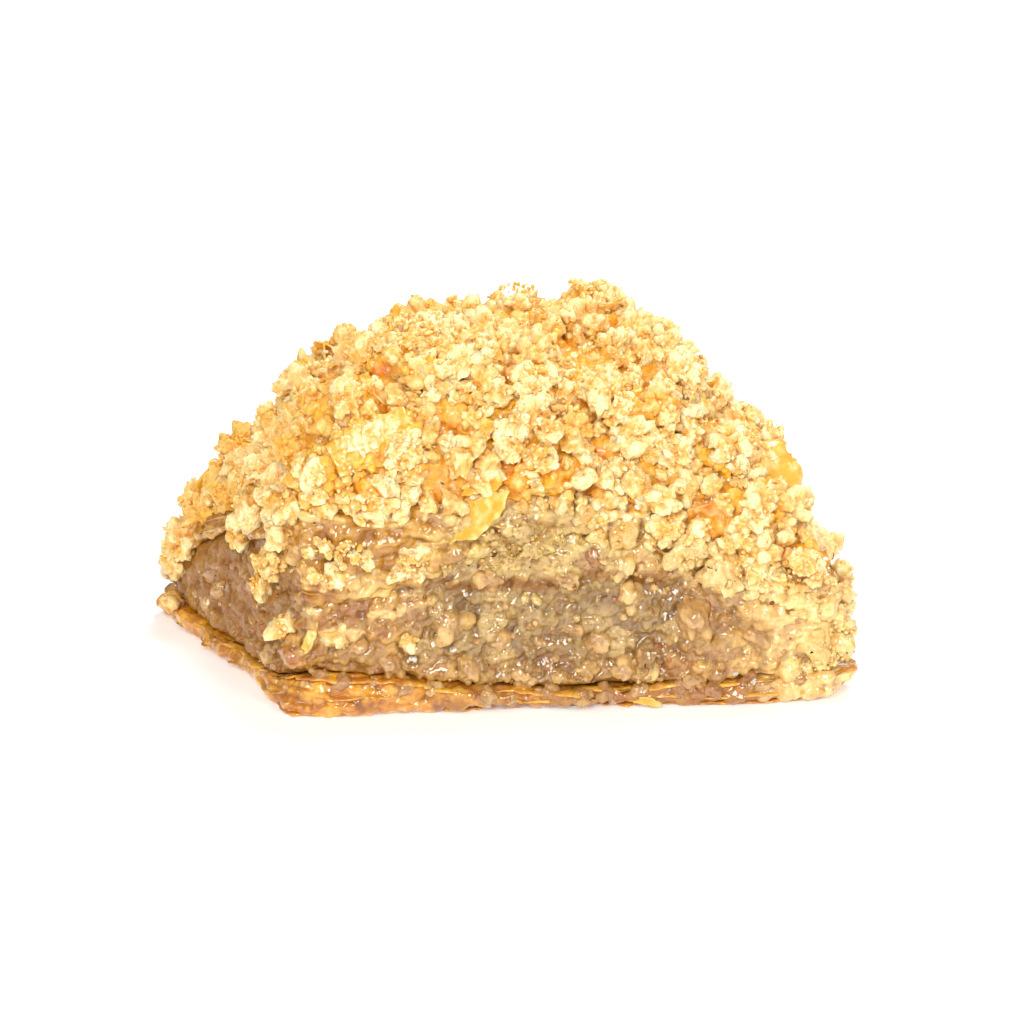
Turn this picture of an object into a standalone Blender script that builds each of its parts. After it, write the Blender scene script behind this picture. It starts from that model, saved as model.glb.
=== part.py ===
"""One piece of baklava, cut as a skewed block with a domed top.

From the bottom up: a thin base of syrup-soaked pastry sheets, a thick filling of ground walnuts,
a top of pastry sheets that follows the dome, and a topping of walnut crumbs and broken flakes.
Lengths are in millimetres until the meshes are made, which are in metres. +X runs along the
front cut face, +Y goes away from it, +Z is up, and the origin is under the middle of the piece.
"""

import math
import random

import bmesh
import bpy
from mathutils import Vector, noise

MM = 0.001

# Driving dimensions
FRONT_LENGTH = 52.0
SIDE_LENGTH = 32.0
CORNER_ANGLE = math.radians(114.0)
CORNER_ROUNDING = 2.4
SHARP_CORNER_ROUNDING = 5.0
DOME_HEIGHT = 31.6
FILLING_PEAK = 26.0
PASTRY_PEAK = 28.6
BASE_PEAK = 2.2
GAP = 0.3

# Mesh fineness
AROUND = 56
CLEARANCE = 0.15
CELLS_AROUND, CELLS_UP = 48, 12
CAP_SHARES = (0.45, 0.85)

# Stations round the outline, counter-clockwise: the side they are on (0 front, 1 right, 2 back,
# 3 left) and how far along it, then the height of the base's rim, of the filling's rim and of
# the top pastry's rim, and how square the shoulder of the dome is there: 2 is an ellipse, more
# is squarer, less is a slope.
STATIONS = (
    ("near_left", 0, 0.0, 3.8, 9.8, 19.0, 5.6),
    ("front", 0, 0.5, 1.7, 16.6, 19.2, 3.1),
    ("near_right", 1, 0.0, 2.8, 7.0, 9.8, 1.8),
    ("right", 1, 0.5, 2.0, 11.0, 13.6, 2.45),
    ("far_right", 2, 0.0, 2.4, 7.6, 10.2, 2.8),
    ("back", 2, 0.5, 1.9, 14.6, 17.2, 2.9),
    ("far_left", 3, 0.0, 2.8, 6.0, 8.8, 1.65),
    ("left", 3, 0.5, 1.8, 12.4, 15.0, 2.2),
    ("left_end", 3, 0.86, 2.2, 14.6, 18.4, 3.6),
)
SIDE, SHARE, BASE_RIM, FILLING_RIM, PASTRY_RIM, SHOULDER = range(1, 7)

# The upper filling overhangs the moist lower filling on the front face.
LEDGE_HEIGHT = 12.6
LEDGE_DEPTH = 1.1

# Edges of the pastry sheets: how far up the layer, and how far they stand out.
BASE_SHEETS = ((0.08, 0.2), (0.30, 1.0), (0.50, 0.3), (0.74, 0.8))
TOP_SHEETS = ((0.25, 0.7), (0.5, 0.1), (0.78, 0.8))

# Unevenness of the cut faces and of the topping: depth, grain and seed of each set of bumps.
WALL_BUMPS = ((0.8, 7.0, 0.0), (0.5, 2.6, 5.0))
TOPPING_BUMPS = ((2.6, 8.5, 3.0), (1.4, 3.6, 9.0))

# The base curls up under the near right corner.
CORNER_LIFT = 1.5

FRONT_VECTOR = Vector((1.0, 0.0))
SIDE_VECTOR = Vector((math.cos(CORNER_ANGLE), math.sin(CORNER_ANGLE)))
CENTRE = (FRONT_VECTOR * FRONT_LENGTH + SIDE_VECTOR * SIDE_LENGTH) / 2
PERIMETER = 2 * (FRONT_LENGTH + SIDE_LENGTH)

# Colour, roughness and metallic value of each sub-part
LOOKS = {
    "base_pastry": ((0.56, 0.24, 0.045), 0.28, 0.0),
    "nut_filling": ((0.34, 0.22, 0.11), 0.32, 0.0),
    "top_pastry": ((0.72, 0.42, 0.10), 0.38, 0.0),
    "nut_topping": ((0.86, 0.66, 0.34), 0.55, 0.0),
}

# Walnut pieces that stand out on the cut faces: distance along the outline from the near left
# corner, height, and radius.
LUMPS_ON_PASTRY = ((4.6, 15.0, 1.8), (3.2, 12.6, 1.0), (10.0, 13.8, 1.6))
LUMPS_ON_FILLING = (
    (17.9, 12.7, 1.2),
    (23.8, 12.2, 1.3),
    (26.5, 15.0, 1.6),
    (29.7, 10.6, 1.3),
    (36.0, 8.4, 1.5),
    (32.5, 4.4, 1.4),
    (38.0, 4.6, 1.3),
    (15.5, 4.6, 1.4),
    (20.6, 4.6, 1.3),
    (13.1, 8.4, 1.8),
    (53.0, 5.0, 1.6),
)
SIDE_LUMPS_ON_FILLING = 18

# Clumps that rise out of the topping: distance along the outline, share of the way up the
# topping from its foot, and radius.
TOPPING_CLUMPS = (
    (12.0, 0.75, 2.3),
    (9.0, 0.70, 1.6),
    (16.0, 0.66, 1.7),
    (23.0, 0.54, 1.8),
    (20.6, 0.29, 1.9),
    (21.2, 0.16, 1.6),
    (9.0, 0.26, 1.7),
    (9.8, 0.13, 1.6),
    (6.2, 0.04, 1.7),
    (2.4, 0.10, 1.6),
    (50.0, 0.59, 1.9),
    (45.5, 0.47, 1.7),
    (31.0, 0.45, 1.8),
    (32.4, 0.31, 1.8),
    (37.6, 0.40, 1.8),
    (53.0, 0.40, 1.9),
    (48.6, 0.08, 1.6),
    (83.0, 0.78, 2.2),
    (127.0, 0.68, 2.2),
    (152.0, 0.24, 1.9),
    (162.0, 0.06, 1.6),
)
TOPPING_CRUMBS = 134
CRUMB_RADII = (1.0, 2.0)
ROUNDER_FROM = 1.5
LEAST_TOPPING = 0.7

# Broken pastry sheets that show among the crumbs: distance and share as above, the direction
# they run in, the direction across them, and their length, width and curl.
FLAKES = (
    (5.6, 0.24, (1.0, 0.0, 0.4), (0.0, 1.0, 0.9), 8.0, 4.6, 0.5),
    (16.4, 0.06, (1.0, 0.0, 0.7), (0.0, 1.0, 2.2), 9.0, 3.2, 0.7),
    (61.0, 0.26, (0.8, 0.0, -0.9), (0.3, 1.0, 0.3), 7.5, 5.0, -0.8),
    (150.0, 0.36, (0.0, 1.0, 0.2), (-1.0, 0.0, 1.0), 7.0, 4.4, 0.6),
    (108.0, 0.30, (1.0, 0.0, 0.2), (0.0, -1.0, 1.0), 7.5, 4.4, 0.6),
)


def polygon_point(distance):
    """The sharp-cornered outline at a distance along it from the near left corner."""
    distance %= PERIMETER
    near_right = FRONT_VECTOR * FRONT_LENGTH
    far_right = near_right + SIDE_VECTOR * SIDE_LENGTH
    if distance < FRONT_LENGTH:
        return FRONT_VECTOR * distance
    if distance < FRONT_LENGTH + SIDE_LENGTH:
        return near_right + SIDE_VECTOR * (distance - FRONT_LENGTH)
    if distance < 2 * FRONT_LENGTH + SIDE_LENGTH:
        return far_right - FRONT_VECTOR * (distance - FRONT_LENGTH - SIDE_LENGTH)
    return SIDE_VECTOR * (PERIMETER - distance)


def outline(distance):
    """The outline with rounded corners: the polygon averaged over a short stretch."""
    steps = 4
    sharper = nearness(distance, FRONT_LENGTH, 12.0)
    reach = CORNER_ROUNDING + (SHARP_CORNER_ROUNDING - CORNER_ROUNDING) * sharper
    total = Vector((0.0, 0.0))
    for i in range(-steps, steps + 1):
        total += polygon_point(distance + reach * i / steps)
    return total / (2 * steps + 1)


def station_distance(station):
    """Distance of a station along the outline from the near left corner."""
    sides = (FRONT_LENGTH, SIDE_LENGTH, FRONT_LENGTH, SIDE_LENGTH)
    return sum(sides[: station[SIDE]]) + sides[station[SIDE]] * station[SHARE]


STATION_PLACES = [station_distance(station) for station in STATIONS]


def at_station(distance, column):
    """A column of STATIONS at any distance along the outline, blended between neighbours."""
    distance %= PERIMETER
    count = len(STATIONS)
    for i in range(count):
        start = STATION_PLACES[i]
        end = STATION_PLACES[i + 1] if i + 1 < count else PERIMETER
        if start <= distance <= end:
            share = (distance - start) / (end - start)
            share = share * share * (3 - 2 * share)
            here, after = STATIONS[i][column], STATIONS[(i + 1) % count][column]
            return here + (after - here) * share
    return STATIONS[0][column]


def nearness(distance, place, reach):
    """1 at a place on the outline, falling smoothly to 0 at reach from it."""
    away = abs((distance - place + PERIMETER / 2) % PERIMETER - PERIMETER / 2)
    return 0.5 + 0.5 * math.cos(math.pi * min(away / reach, 1.0))


def shrink(distance, z):
    """How far the dome's wall has drawn in at height z: 1 at the foot, 0 at the peak."""
    power = at_station(distance, SHOULDER)
    share = min(max(z / DOME_HEIGHT, 0.0), 1.0)
    return (1 - share**power) ** (1 / power)


def plan_point(distance, scale):
    return CENTRE + (outline(distance) - CENTRE) * scale


def outward(distance):
    return (outline(distance) - CENTRE).normalized()


def roughness(point, size, seed=0.0):
    """Smooth noise of the given grain size, from about -1 to 1."""
    return noise.noise(Vector(point) / size + Vector((seed, 2.7 * seed, 1.3 * seed)))


def uneven(point, bumps):
    return sum(depth * roughness(point, grain, seed) for depth, grain, seed in bumps)


def wall_point(distance, z, push=0.0):
    """A point on the outer wall at height z, uneven as a torn cut is, pushed outward by push."""
    flat = plan_point(distance, shrink(distance, z))
    bumps = uneven((*flat, z), WALL_BUMPS)
    flat = flat + outward(distance) * (bumps + push)
    return Vector((*flat, z))


def dome_point(distance, angle, push=0.0):
    """A point on the dome, by its angle up from the foot (0) to the peak (a quarter turn)."""
    power = at_station(distance, SHOULDER)
    scale = math.cos(angle) ** (2 / power)
    z = DOME_HEIGHT * math.sin(angle) ** (2 / power)
    flat = plan_point(distance, scale)
    bumps = uneven((*flat, z), TOPPING_BUMPS)
    away = Vector((*(outward(distance) * scale), max(z / DOME_HEIGHT, 0.2))).normalized()
    return Vector((*flat, z)) + away * (bumps + push)


def sheet_height(distance, share, rim, peak):
    """Height of the surface between two layers, share of the way from the axis to the rim."""
    low = at_station(distance, rim)
    flat = plan_point(distance, share)
    wave = 0.35 * roughness((*flat, 0.0), 9.0, 11.0) * (1 - share)
    return low + (peak - low) * (1 - share**2) + wave


def distances():
    return [PERIMETER * i / AROUND for i in range(AROUND)]


def cap_rings(shares, rim, peak, lift=0.0):
    """Rings of the surface between two layers. Shares count from the axis (0) to the rim (1)."""
    rings = []
    for share in shares:
        ring = []
        for d in distances():
            scale = share * shrink(d, at_station(d, rim))
            flat = plan_point(d, scale)
            ring.append(Vector((*flat, sheet_height(d, share, rim, peak) + lift)))
        rings.append(ring)
    return rings


def rim_ring(rim, lift=0.0):
    """The edge that two layers share, which each of them meets with its own lift."""
    ring = [wall_point(d, at_station(d, rim)) for d in distances()]
    for point in ring:
        point.z += lift
    return ring


def solid_from_rings(name, bottom, rings, top):
    """One closed body: a pole, rings that all hold AROUND points, and a pole."""
    mesh = bmesh.new()
    first = mesh.verts.new(bottom * MM)
    rows = [[mesh.verts.new(point * MM) for point in ring] for ring in rings]
    last = mesh.verts.new(top * MM)
    for i in range(AROUND):
        after = (i + 1) % AROUND
        mesh.faces.new((first, rows[0][after], rows[0][i]))
        for low, high in zip(rows, rows[1:]):
            mesh.faces.new((low[i], low[after], high[after], high[i]))
        mesh.faces.new((rows[-1][i], rows[-1][after], last))
    bmesh.ops.triangulate(mesh, faces=mesh.faces)
    return object_from(name, mesh)


def object_from(name, mesh):
    data = bpy.data.meshes.new(name)
    mesh.to_mesh(data)
    mesh.free()
    obj = bpy.data.objects.new(name, data)
    bpy.context.scene.collection.objects.link(obj)
    return obj


def material_for(name):
    colour, rough, metallic = LOOKS[name]
    material = bpy.data.materials.new(name)
    material.use_nodes = True
    shader = material.node_tree.nodes["Principled BSDF"]
    shader.inputs["Base Color"].default_value = (*colour, 1.0)
    shader.inputs["Roughness"].default_value = rough
    shader.inputs["Metallic"].default_value = metallic
    return material


def pole(rim, peak, lift=0.0):
    return Vector((*CENTRE, sheet_height(0.0, 0.0, rim, peak) + lift))


def base_pastry():
    """The base: a flat foot, and sheets whose ragged edges step in and out."""
    rings = []
    for share in (0.5, 0.93):
        rings.append([Vector((*plan_point(d, share), 0.0)) for d in distances()])
    for level, reach in BASE_SHEETS:
        ring = []
        for d in distances():
            rim = at_station(d, BASE_RIM)
            droop = 0.45 + 0.4 * roughness((*plan_point(d, 1.0), 0.0), 6.0, 21.0)
            droop *= 1 - nearness(d, 0.0, 9.0)
            droop += CORNER_LIFT * nearness(d, FRONT_LENGTH + 1.0, 8.0)
            z = droop * (1 - level) + rim * level
            fray = 1 + 0.9 * roughness((*plan_point(d, 1.0), 3 * level), 2.4, 17.0)
            tip = 1.3 * nearness(d, PERIMETER - 1.0, 7.0) + 1.6 * nearness(d, 7.0, 6.5)
            tip *= 1 - level
            ring.append(wall_point(d, z, reach * fray + tip))
        rings.append(ring)
    rings.append(rim_ring(BASE_RIM))
    rings += cap_rings((0.93, 0.5), BASE_RIM, BASE_PEAK)
    return solid_from_rings("base_pastry", Vector((*CENTRE, 0.0)), rings, pole(BASE_RIM, BASE_PEAK))


def filling_push(distance, z):
    """The front of the filling: the upper part stands out over the lower part."""
    on_front = nearness(distance, 0.53 * FRONT_LENGTH, 0.42 * FRONT_LENGTH)
    edge = LEDGE_HEIGHT + 1.6 * roughness((distance, 0.0, 0.0), 6.0, 2.0)
    step = 1 / (1 + math.exp(-(z - edge) / 0.35))
    return LEDGE_DEPTH * on_front * (step - 0.75)


def nut_filling():
    rings = cap_rings((0.5, 0.93), BASE_RIM, BASE_PEAK, GAP)
    rings.append(rim_ring(BASE_RIM, GAP))
    for level in (0.14, 0.32, 0.5, 0.66, 0.82):
        ring = []
        for d in distances():
            low, high = at_station(d, BASE_RIM) + GAP, at_station(d, FILLING_RIM)
            z = low + (high - low) * level
            ring.append(wall_point(d, z, filling_push(d, z)))
        rings.append(ring)
    rings.append(rim_ring(FILLING_RIM))
    rings += cap_rings(CAP_SHARES[::-1], FILLING_RIM, FILLING_PEAK)
    bottom, top = pole(BASE_RIM, BASE_PEAK, GAP), pole(FILLING_RIM, FILLING_PEAK)
    return solid_from_rings("nut_filling", bottom, rings, top)


def top_pastry():
    rings = cap_rings(CAP_SHARES, FILLING_RIM, FILLING_PEAK, GAP)
    rings.append(rim_ring(FILLING_RIM, GAP))
    for level, reach in TOP_SHEETS:
        ring = []
        for d in distances():
            low, high = at_station(d, FILLING_RIM) + GAP, at_station(d, PASTRY_RIM)
            z = low + (high - low) * level
            fray = 1 + 0.9 * roughness((*plan_point(d, 1.0), 4 * level), 2.8, 31.0)
            ring.append(wall_point(d, z, reach * fray))
        rings.append(ring)
    rings.append(rim_ring(PASTRY_RIM))
    rings += cap_rings(CAP_SHARES[::-1], PASTRY_RIM, PASTRY_PEAK)
    bottom, top = pole(FILLING_RIM, FILLING_PEAK, GAP), pole(PASTRY_RIM, PASTRY_PEAK)
    return solid_from_rings("top_pastry", bottom, rings, top)


OUTLINE_SAMPLES = [
    (math.atan2(*reversed(outline(d) - CENTRE)), d, (outline(d) - CENTRE).length)
    for d in (PERIMETER * i / 720 for i in range(720))
]


def locate(flat):
    """The distance along the outline and the share of the way out to it for a plan point."""
    away = flat - CENTRE
    angle = math.atan2(away.y, away.x)
    best = min(
        OUTLINE_SAMPLES, key=lambda s: abs((s[0] - angle + math.pi) % (2 * math.pi) - math.pi)
    )
    return best[1], away.length / best[2]


def sheet_over(flat, rim, peak):
    """Height of the surface between two layers over a plan point, level beyond its rim."""
    distance, scale = locate(flat)
    edge = shrink(distance, at_station(distance, rim))
    return sheet_height(distance, min(scale / edge, 1.0), rim, peak)


def foot_angle(distance):
    """The dome angle at which the topping starts, just over the top pastry's rim."""
    power = at_station(distance, SHOULDER)
    share = (at_station(distance, PASTRY_RIM) + GAP) / DOME_HEIGHT
    return math.asin(share ** (power / 2))


def topping_angle(distance, share):
    """Angle up the dome, from the topping's foot (0) to the peak (1)."""
    low = foot_angle(distance)
    return low + (math.pi / 2 - low) * share


def nut_topping_core():
    rings = cap_rings(CAP_SHARES, PASTRY_RIM, PASTRY_PEAK, GAP)
    rings.append(rim_ring(PASTRY_RIM, GAP))
    for share in (0.1, 0.22, 0.35, 0.48, 0.61, 0.73, 0.84, 0.94):
        ring = []
        for d in distances():
            point = topping_point(d, share)
            under = sheet_over(point.xy, PASTRY_RIM, PASTRY_PEAK)
            point.z = max(point.z, under + GAP + LEAST_TOPPING)
            ring.append(point)
        rings.append(ring)
    peak = dome_point(0.0, math.pi / 2)
    return solid_from_rings("nut_topping", pole(PASTRY_RIM, PASTRY_PEAK, GAP), rings, peak)


def topping_point(distance, share, push=0.0):
    """A point on the topping's surface, share of the way from its foot to its peak."""
    return dome_point(distance, topping_angle(distance, share), push)


def dome_cells():
    """Cells of the topping's surface, each with its area, so that crumbs spread evenly."""
    cells = []
    for i in range(CELLS_AROUND):
        for j in range(CELLS_UP):
            corners = []
            for di, dj in ((0, 0), (1, 0), (0, 1)):
                distance = PERIMETER * (i + di) / CELLS_AROUND
                corners.append(topping_point(distance, (j + dj) / CELLS_UP))
            area = (corners[1] - corners[0]).cross(corners[2] - corners[0]).length
            cells.append((PERIMETER * i / CELLS_AROUND, j / CELLS_UP, area))
    return cells


def keep_between(point, floor, ceiling):
    """Moves a point of a lump up or down so that the lump stays in its own layer."""
    flat = point.xy
    if floor:
        point.z = max(point.z, sheet_over(flat, *floor) + GAP + CLEARANCE)
    if ceiling:
        distance, _ = locate(flat)
        point.z = min(point.z, at_station(distance, ceiling[0]) - CLEARANCE)
    return point


# The surfaces under and over each layer's pieces: the rim's column and the height at the axis.
LAYER_LIMITS = {
    "nut_filling": ((BASE_RIM, BASE_PEAK), (FILLING_RIM, FILLING_PEAK)),
    "top_pastry": ((FILLING_RIM, FILLING_PEAK), (PASTRY_RIM, PASTRY_PEAK)),
    "nut_topping": ((PASTRY_RIM, PASTRY_PEAK), None),
}


def lump(collection, layer, centre, radius, rng, small=False):
    """A broken walnut crumb, kept inside its layer's heights: a small one has fewer faces."""
    mesh = bmesh.new()
    if small:
        bmesh.ops.create_cube(mesh, size=1.45 * radius)
        bmesh.ops.triangulate(mesh, faces=mesh.faces)
    else:
        bmesh.ops.create_icosphere(mesh, subdivisions=1, radius=radius)
    stretch = Vector((rng.uniform(0.8, 1.25), rng.uniform(0.8, 1.25), rng.uniform(0.8, 1.15)))
    turn = Vector((rng.uniform(-1, 1), rng.uniform(-1, 1), rng.uniform(-1, 1))).normalized()
    spin = Vector((0.0, 0.0, 1.0)).rotation_difference(turn)
    for vert in mesh.verts:
        vert.co = spin @ (vert.co * stretch * rng.uniform(0.72, 1.18)) + centre
        vert.co = keep_between(vert.co, *LAYER_LIMITS[layer]) * MM
    piece = object_from("crumb", mesh)
    bpy.context.scene.collection.objects.unlink(piece)
    collection.objects.link(piece)


def flake(collection, layer, centre, along, across, length, width, curl):
    """A broken piece of pastry sheet: a thin curled plate, narrow at both ends."""
    columns, rows, thick = 4, 2, 0.55
    along, across = along.normalized(), across.normalized()
    normal = along.cross(across).normalized()
    mesh = bmesh.new()
    sides = []
    for side in (1, -1):
        grid = []
        for i in range(columns + 1):
            u = 2 * i / columns - 1
            half = width / 2 * (1 - 0.55 * u * u) * (1 + 0.25 * math.sin(5 * u + length))
            for j in range(rows + 1):
                v = 2 * j / rows - 1
                bend = curl * (u * u - 0.4) + 0.5 * curl * v * v
                point = centre + along * (length / 2 * u) + across * (half * v)
                point = point + normal * (bend + side * thick / 2)
                grid.append(mesh.verts.new(keep_between(point, *LAYER_LIMITS[layer]) * MM))
        sides.append(grid)
    width_count = rows + 1

    def at(side, i, j):
        return sides[side][i * width_count + j]

    for i in range(columns):
        for j in range(rows):
            mesh.faces.new((at(0, i, j), at(0, i + 1, j), at(0, i + 1, j + 1), at(0, i, j + 1)))
            mesh.faces.new((at(1, i, j), at(1, i, j + 1), at(1, i + 1, j + 1), at(1, i + 1, j)))
    for i in range(columns):
        mesh.faces.new((at(0, i, 0), at(1, i, 0), at(1, i + 1, 0), at(0, i + 1, 0)))
        mesh.faces.new((at(0, i + 1, rows), at(1, i + 1, rows), at(1, i, rows), at(0, i, rows)))
    for j in range(rows):
        mesh.faces.new((at(0, 0, j + 1), at(1, 0, j + 1), at(1, 0, j), at(0, 0, j)))
        mesh.faces.new(
            (at(0, columns, j), at(1, columns, j), at(1, columns, j + 1), at(0, columns, j + 1))
        )
    bmesh.ops.triangulate(mesh, faces=mesh.faces)
    bmesh.ops.recalc_face_normals(mesh, faces=mesh.faces)
    piece = object_from("flake", mesh)
    bpy.context.scene.collection.objects.unlink(piece)
    collection.objects.link(piece)


def spread(rng, count, sample, radii, taken=()):
    """Points with radii from a sampler, none closer than most of their radii together."""
    chosen = list(taken)
    for _ in range(count * 60):
        found = len(chosen) - len(taken)
        if found == count:
            break
        radius = radii[1] + (radii[0] - radii[1]) * (found / count) ** 0.6
        radius *= rng.uniform(0.85, 1.1)
        point = sample()
        if all((point - p).length > 0.78 * (radius + r) for p, r in chosen):
            chosen.append((point, radius))
    return chosen[len(taken) :]


def topping_pieces(collection):
    """The topping's clumps, and crumbs spread evenly over its surface, the largest first."""
    rng = random.Random(43)
    cells = dome_cells()
    areas = [area for _, _, area in cells]

    def sample():
        distance, share, _ = rng.choices(cells, areas)[0]
        distance += rng.random() * PERIMETER / CELLS_AROUND
        share += rng.random() / CELLS_UP
        return topping_point(distance, share)

    clumps = [(topping_point(d, share, 0.4 * r), r) for d, share, r in TOPPING_CLUMPS]
    for point, radius in clumps + spread(rng, TOPPING_CRUMBS, sample, CRUMB_RADII, clumps):
        lump(collection, "nut_topping", point, radius, rng, small=radius < ROUNDER_FROM)


def filling_pieces(collection):
    """Walnut pieces on the filling: those that show in front, and others round the sides."""
    rng = random.Random(57)
    for place, z, radius in LUMPS_ON_FILLING:
        centre = wall_point(place, z, filling_push(place, z) - 0.25 * radius)
        lump(collection, "nut_filling", centre, radius, rng)

    def sample():
        distance = rng.uniform(FRONT_LENGTH, PERIMETER)
        low, high = at_station(distance, BASE_RIM) + 1.6, at_station(distance, FILLING_RIM) - 1.2
        return wall_point(distance, rng.uniform(low, max(high, low)), -0.25)

    for point, radius in spread(rng, SIDE_LUMPS_ON_FILLING, sample, (1.0, 1.8)):
        lump(collection, "nut_filling", point, radius, rng)


def pastry_pieces(collection):
    """Crumbs that fell on the front edge of the top pastry."""
    rng = random.Random(73)
    for place, z, radius in LUMPS_ON_PASTRY:
        lump(collection, "top_pastry", wall_point(place, z, 0.3), radius, rng)


def topping_flakes(collection):
    """Broken sheets among the crumbs: two in front, one hanging at the right, two hidden ones."""
    for distance, share, along, across, length, width, curl in FLAKES:
        centre = topping_point(distance, share, 0.3)
        flake(collection, "nut_topping", centre, Vector(along), Vector(across), length, width, curl)


def fuse(target, collection):
    """Joins everything in the collection to the target, and clears the collection away."""
    union = target.modifiers.new("fuse", "BOOLEAN")
    union.operation = "UNION"
    union.operand_type = "COLLECTION"
    union.solver = "MANIFOLD"
    union.collection = collection
    bpy.context.view_layer.objects.active = target
    target.select_set(True)
    bpy.ops.object.modifier_apply(modifier=union.name)
    target.select_set(False)
    for piece in list(collection.objects):
        bpy.data.objects.remove(piece)
    bpy.data.collections.remove(collection)
    keep_outer_shell(target)


def keep_outer_shell(obj):
    """Fills sealed hollows and drops loose scraps: only the largest connected shell stays."""
    mesh = bmesh.new()
    mesh.from_mesh(obj.data)
    mesh.verts.ensure_lookup_table()
    left, shells = set(mesh.verts), []
    while left:
        shell, reached = set(), [left.pop()]
        while reached:
            vert = reached.pop()
            shell.add(vert)
            for edge in vert.link_edges:
                other = edge.other_vert(vert)
                if other in left:
                    left.discard(other)
                    reached.append(other)
        shells.append(shell)
    largest = max(shells, key=len)
    spare = [vert for vert in mesh.verts if vert not in largest]
    bmesh.ops.delete(mesh, geom=spare, context="VERTS")
    bmesh.ops.triangulate(mesh, faces=mesh.faces)
    mesh.to_mesh(obj.data)
    mesh.free()


def with_pieces(core, *makers):
    collection = bpy.data.collections.new(core.name + "_pieces")
    bpy.context.scene.collection.children.link(collection)
    for make in makers:
        make(collection)
    fuse(core, collection)
    return core


def stand_on_origin(nodes):
    """Moves the whole piece so that the origin is under the middle of its box."""
    corners = [vert.co for node in nodes for vert in node.data.vertices]
    low = Vector([min(c[i] for c in corners) for i in range(3)])
    high = Vector([max(c[i] for c in corners) for i in range(3)])
    middle = (low + high) / 2
    for node in nodes:
        for vert in node.data.vertices:
            vert.co -= Vector((middle.x, middle.y, low.z))


def main():
    for obj in list(bpy.data.objects):
        bpy.data.objects.remove(obj)
    nodes = [
        base_pastry(),
        with_pieces(nut_filling(), filling_pieces),
        with_pieces(top_pastry(), pastry_pieces),
        with_pieces(nut_topping_core(), topping_pieces, topping_flakes),
    ]
    stand_on_origin(nodes)
    for node in nodes:
        node.data.materials.append(material_for(node.name))


main()
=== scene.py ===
"""Looks of the baklava piece: skins over its four solids, crumbs, nut bits, flakes and sugar.

Shapes are worked out in millimetres, as numpy arrays, and go to metres when a mesh is made.
"""

import math

import bmesh
import bpy
import numpy as np
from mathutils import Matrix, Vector
from mathutils.bvhtree import BVHTree
from mathutils.kdtree import KDTree


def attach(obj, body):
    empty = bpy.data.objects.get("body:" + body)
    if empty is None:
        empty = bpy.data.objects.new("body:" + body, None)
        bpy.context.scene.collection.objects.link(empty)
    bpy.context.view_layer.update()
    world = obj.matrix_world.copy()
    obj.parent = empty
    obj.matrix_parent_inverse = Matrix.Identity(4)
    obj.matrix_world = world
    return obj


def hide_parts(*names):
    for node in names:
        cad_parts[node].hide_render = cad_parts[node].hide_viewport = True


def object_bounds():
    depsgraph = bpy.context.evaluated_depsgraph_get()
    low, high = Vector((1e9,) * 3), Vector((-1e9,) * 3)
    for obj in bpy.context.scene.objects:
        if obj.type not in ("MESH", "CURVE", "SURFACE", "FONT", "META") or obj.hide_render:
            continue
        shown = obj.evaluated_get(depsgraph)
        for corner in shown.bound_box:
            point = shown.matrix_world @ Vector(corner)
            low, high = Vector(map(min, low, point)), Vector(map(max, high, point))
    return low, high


MM = 0.001
TO_MM = 1000.0

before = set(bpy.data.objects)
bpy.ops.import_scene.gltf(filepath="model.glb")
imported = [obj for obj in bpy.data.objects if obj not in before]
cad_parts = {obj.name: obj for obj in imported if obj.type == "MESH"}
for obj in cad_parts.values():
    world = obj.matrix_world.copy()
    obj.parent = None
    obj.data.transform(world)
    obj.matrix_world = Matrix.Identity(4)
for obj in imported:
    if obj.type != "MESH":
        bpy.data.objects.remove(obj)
cad_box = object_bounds()
BOX_LOW = np.array(cad_box[0]) * TO_MM
BOX_HIGH = np.array(cad_box[1]) * TO_MM

# Camera: the picture's side and focal length in pixels, the view's direction, and where the foot
# of the near left corner lies, in the frame and in the view (right, up, forward), in millimetres.
PICTURE_SIDE = 1024
FOCAL_PIXELS = 4660
SENSOR_WIDTH = 36.0
ELEVATION = math.radians(18.5)
AZIMUTH = math.radians(-4.0)
CORNER_FOOT = np.array((-19.05, -14.66, 0.0))
CORNER_FOOT_IN_VIEW = np.array((-19.16, -18.44, 423.08))

FORWARD = np.array(
    (
        -math.sin(AZIMUTH) * math.cos(ELEVATION),
        math.cos(AZIMUTH) * math.cos(ELEVATION),
        -math.sin(ELEVATION),
    )
)
RIGHT = np.array((math.cos(AZIMUTH), math.sin(AZIMUTH), 0.0))
UP = np.cross(RIGHT, FORWARD)
CAMERA_PLACE = CORNER_FOOT - np.stack((RIGHT, UP, FORWARD)).T @ CORNER_FOOT_IN_VIEW

# A pixel whose ray misses the piece moves towards the piece's middle, by steps of some pixels.
PIECE_MIDDLE = (500.0, 520.0)
INWARD_PIXELS = 3.0
INWARD_STEPS = 20

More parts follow.
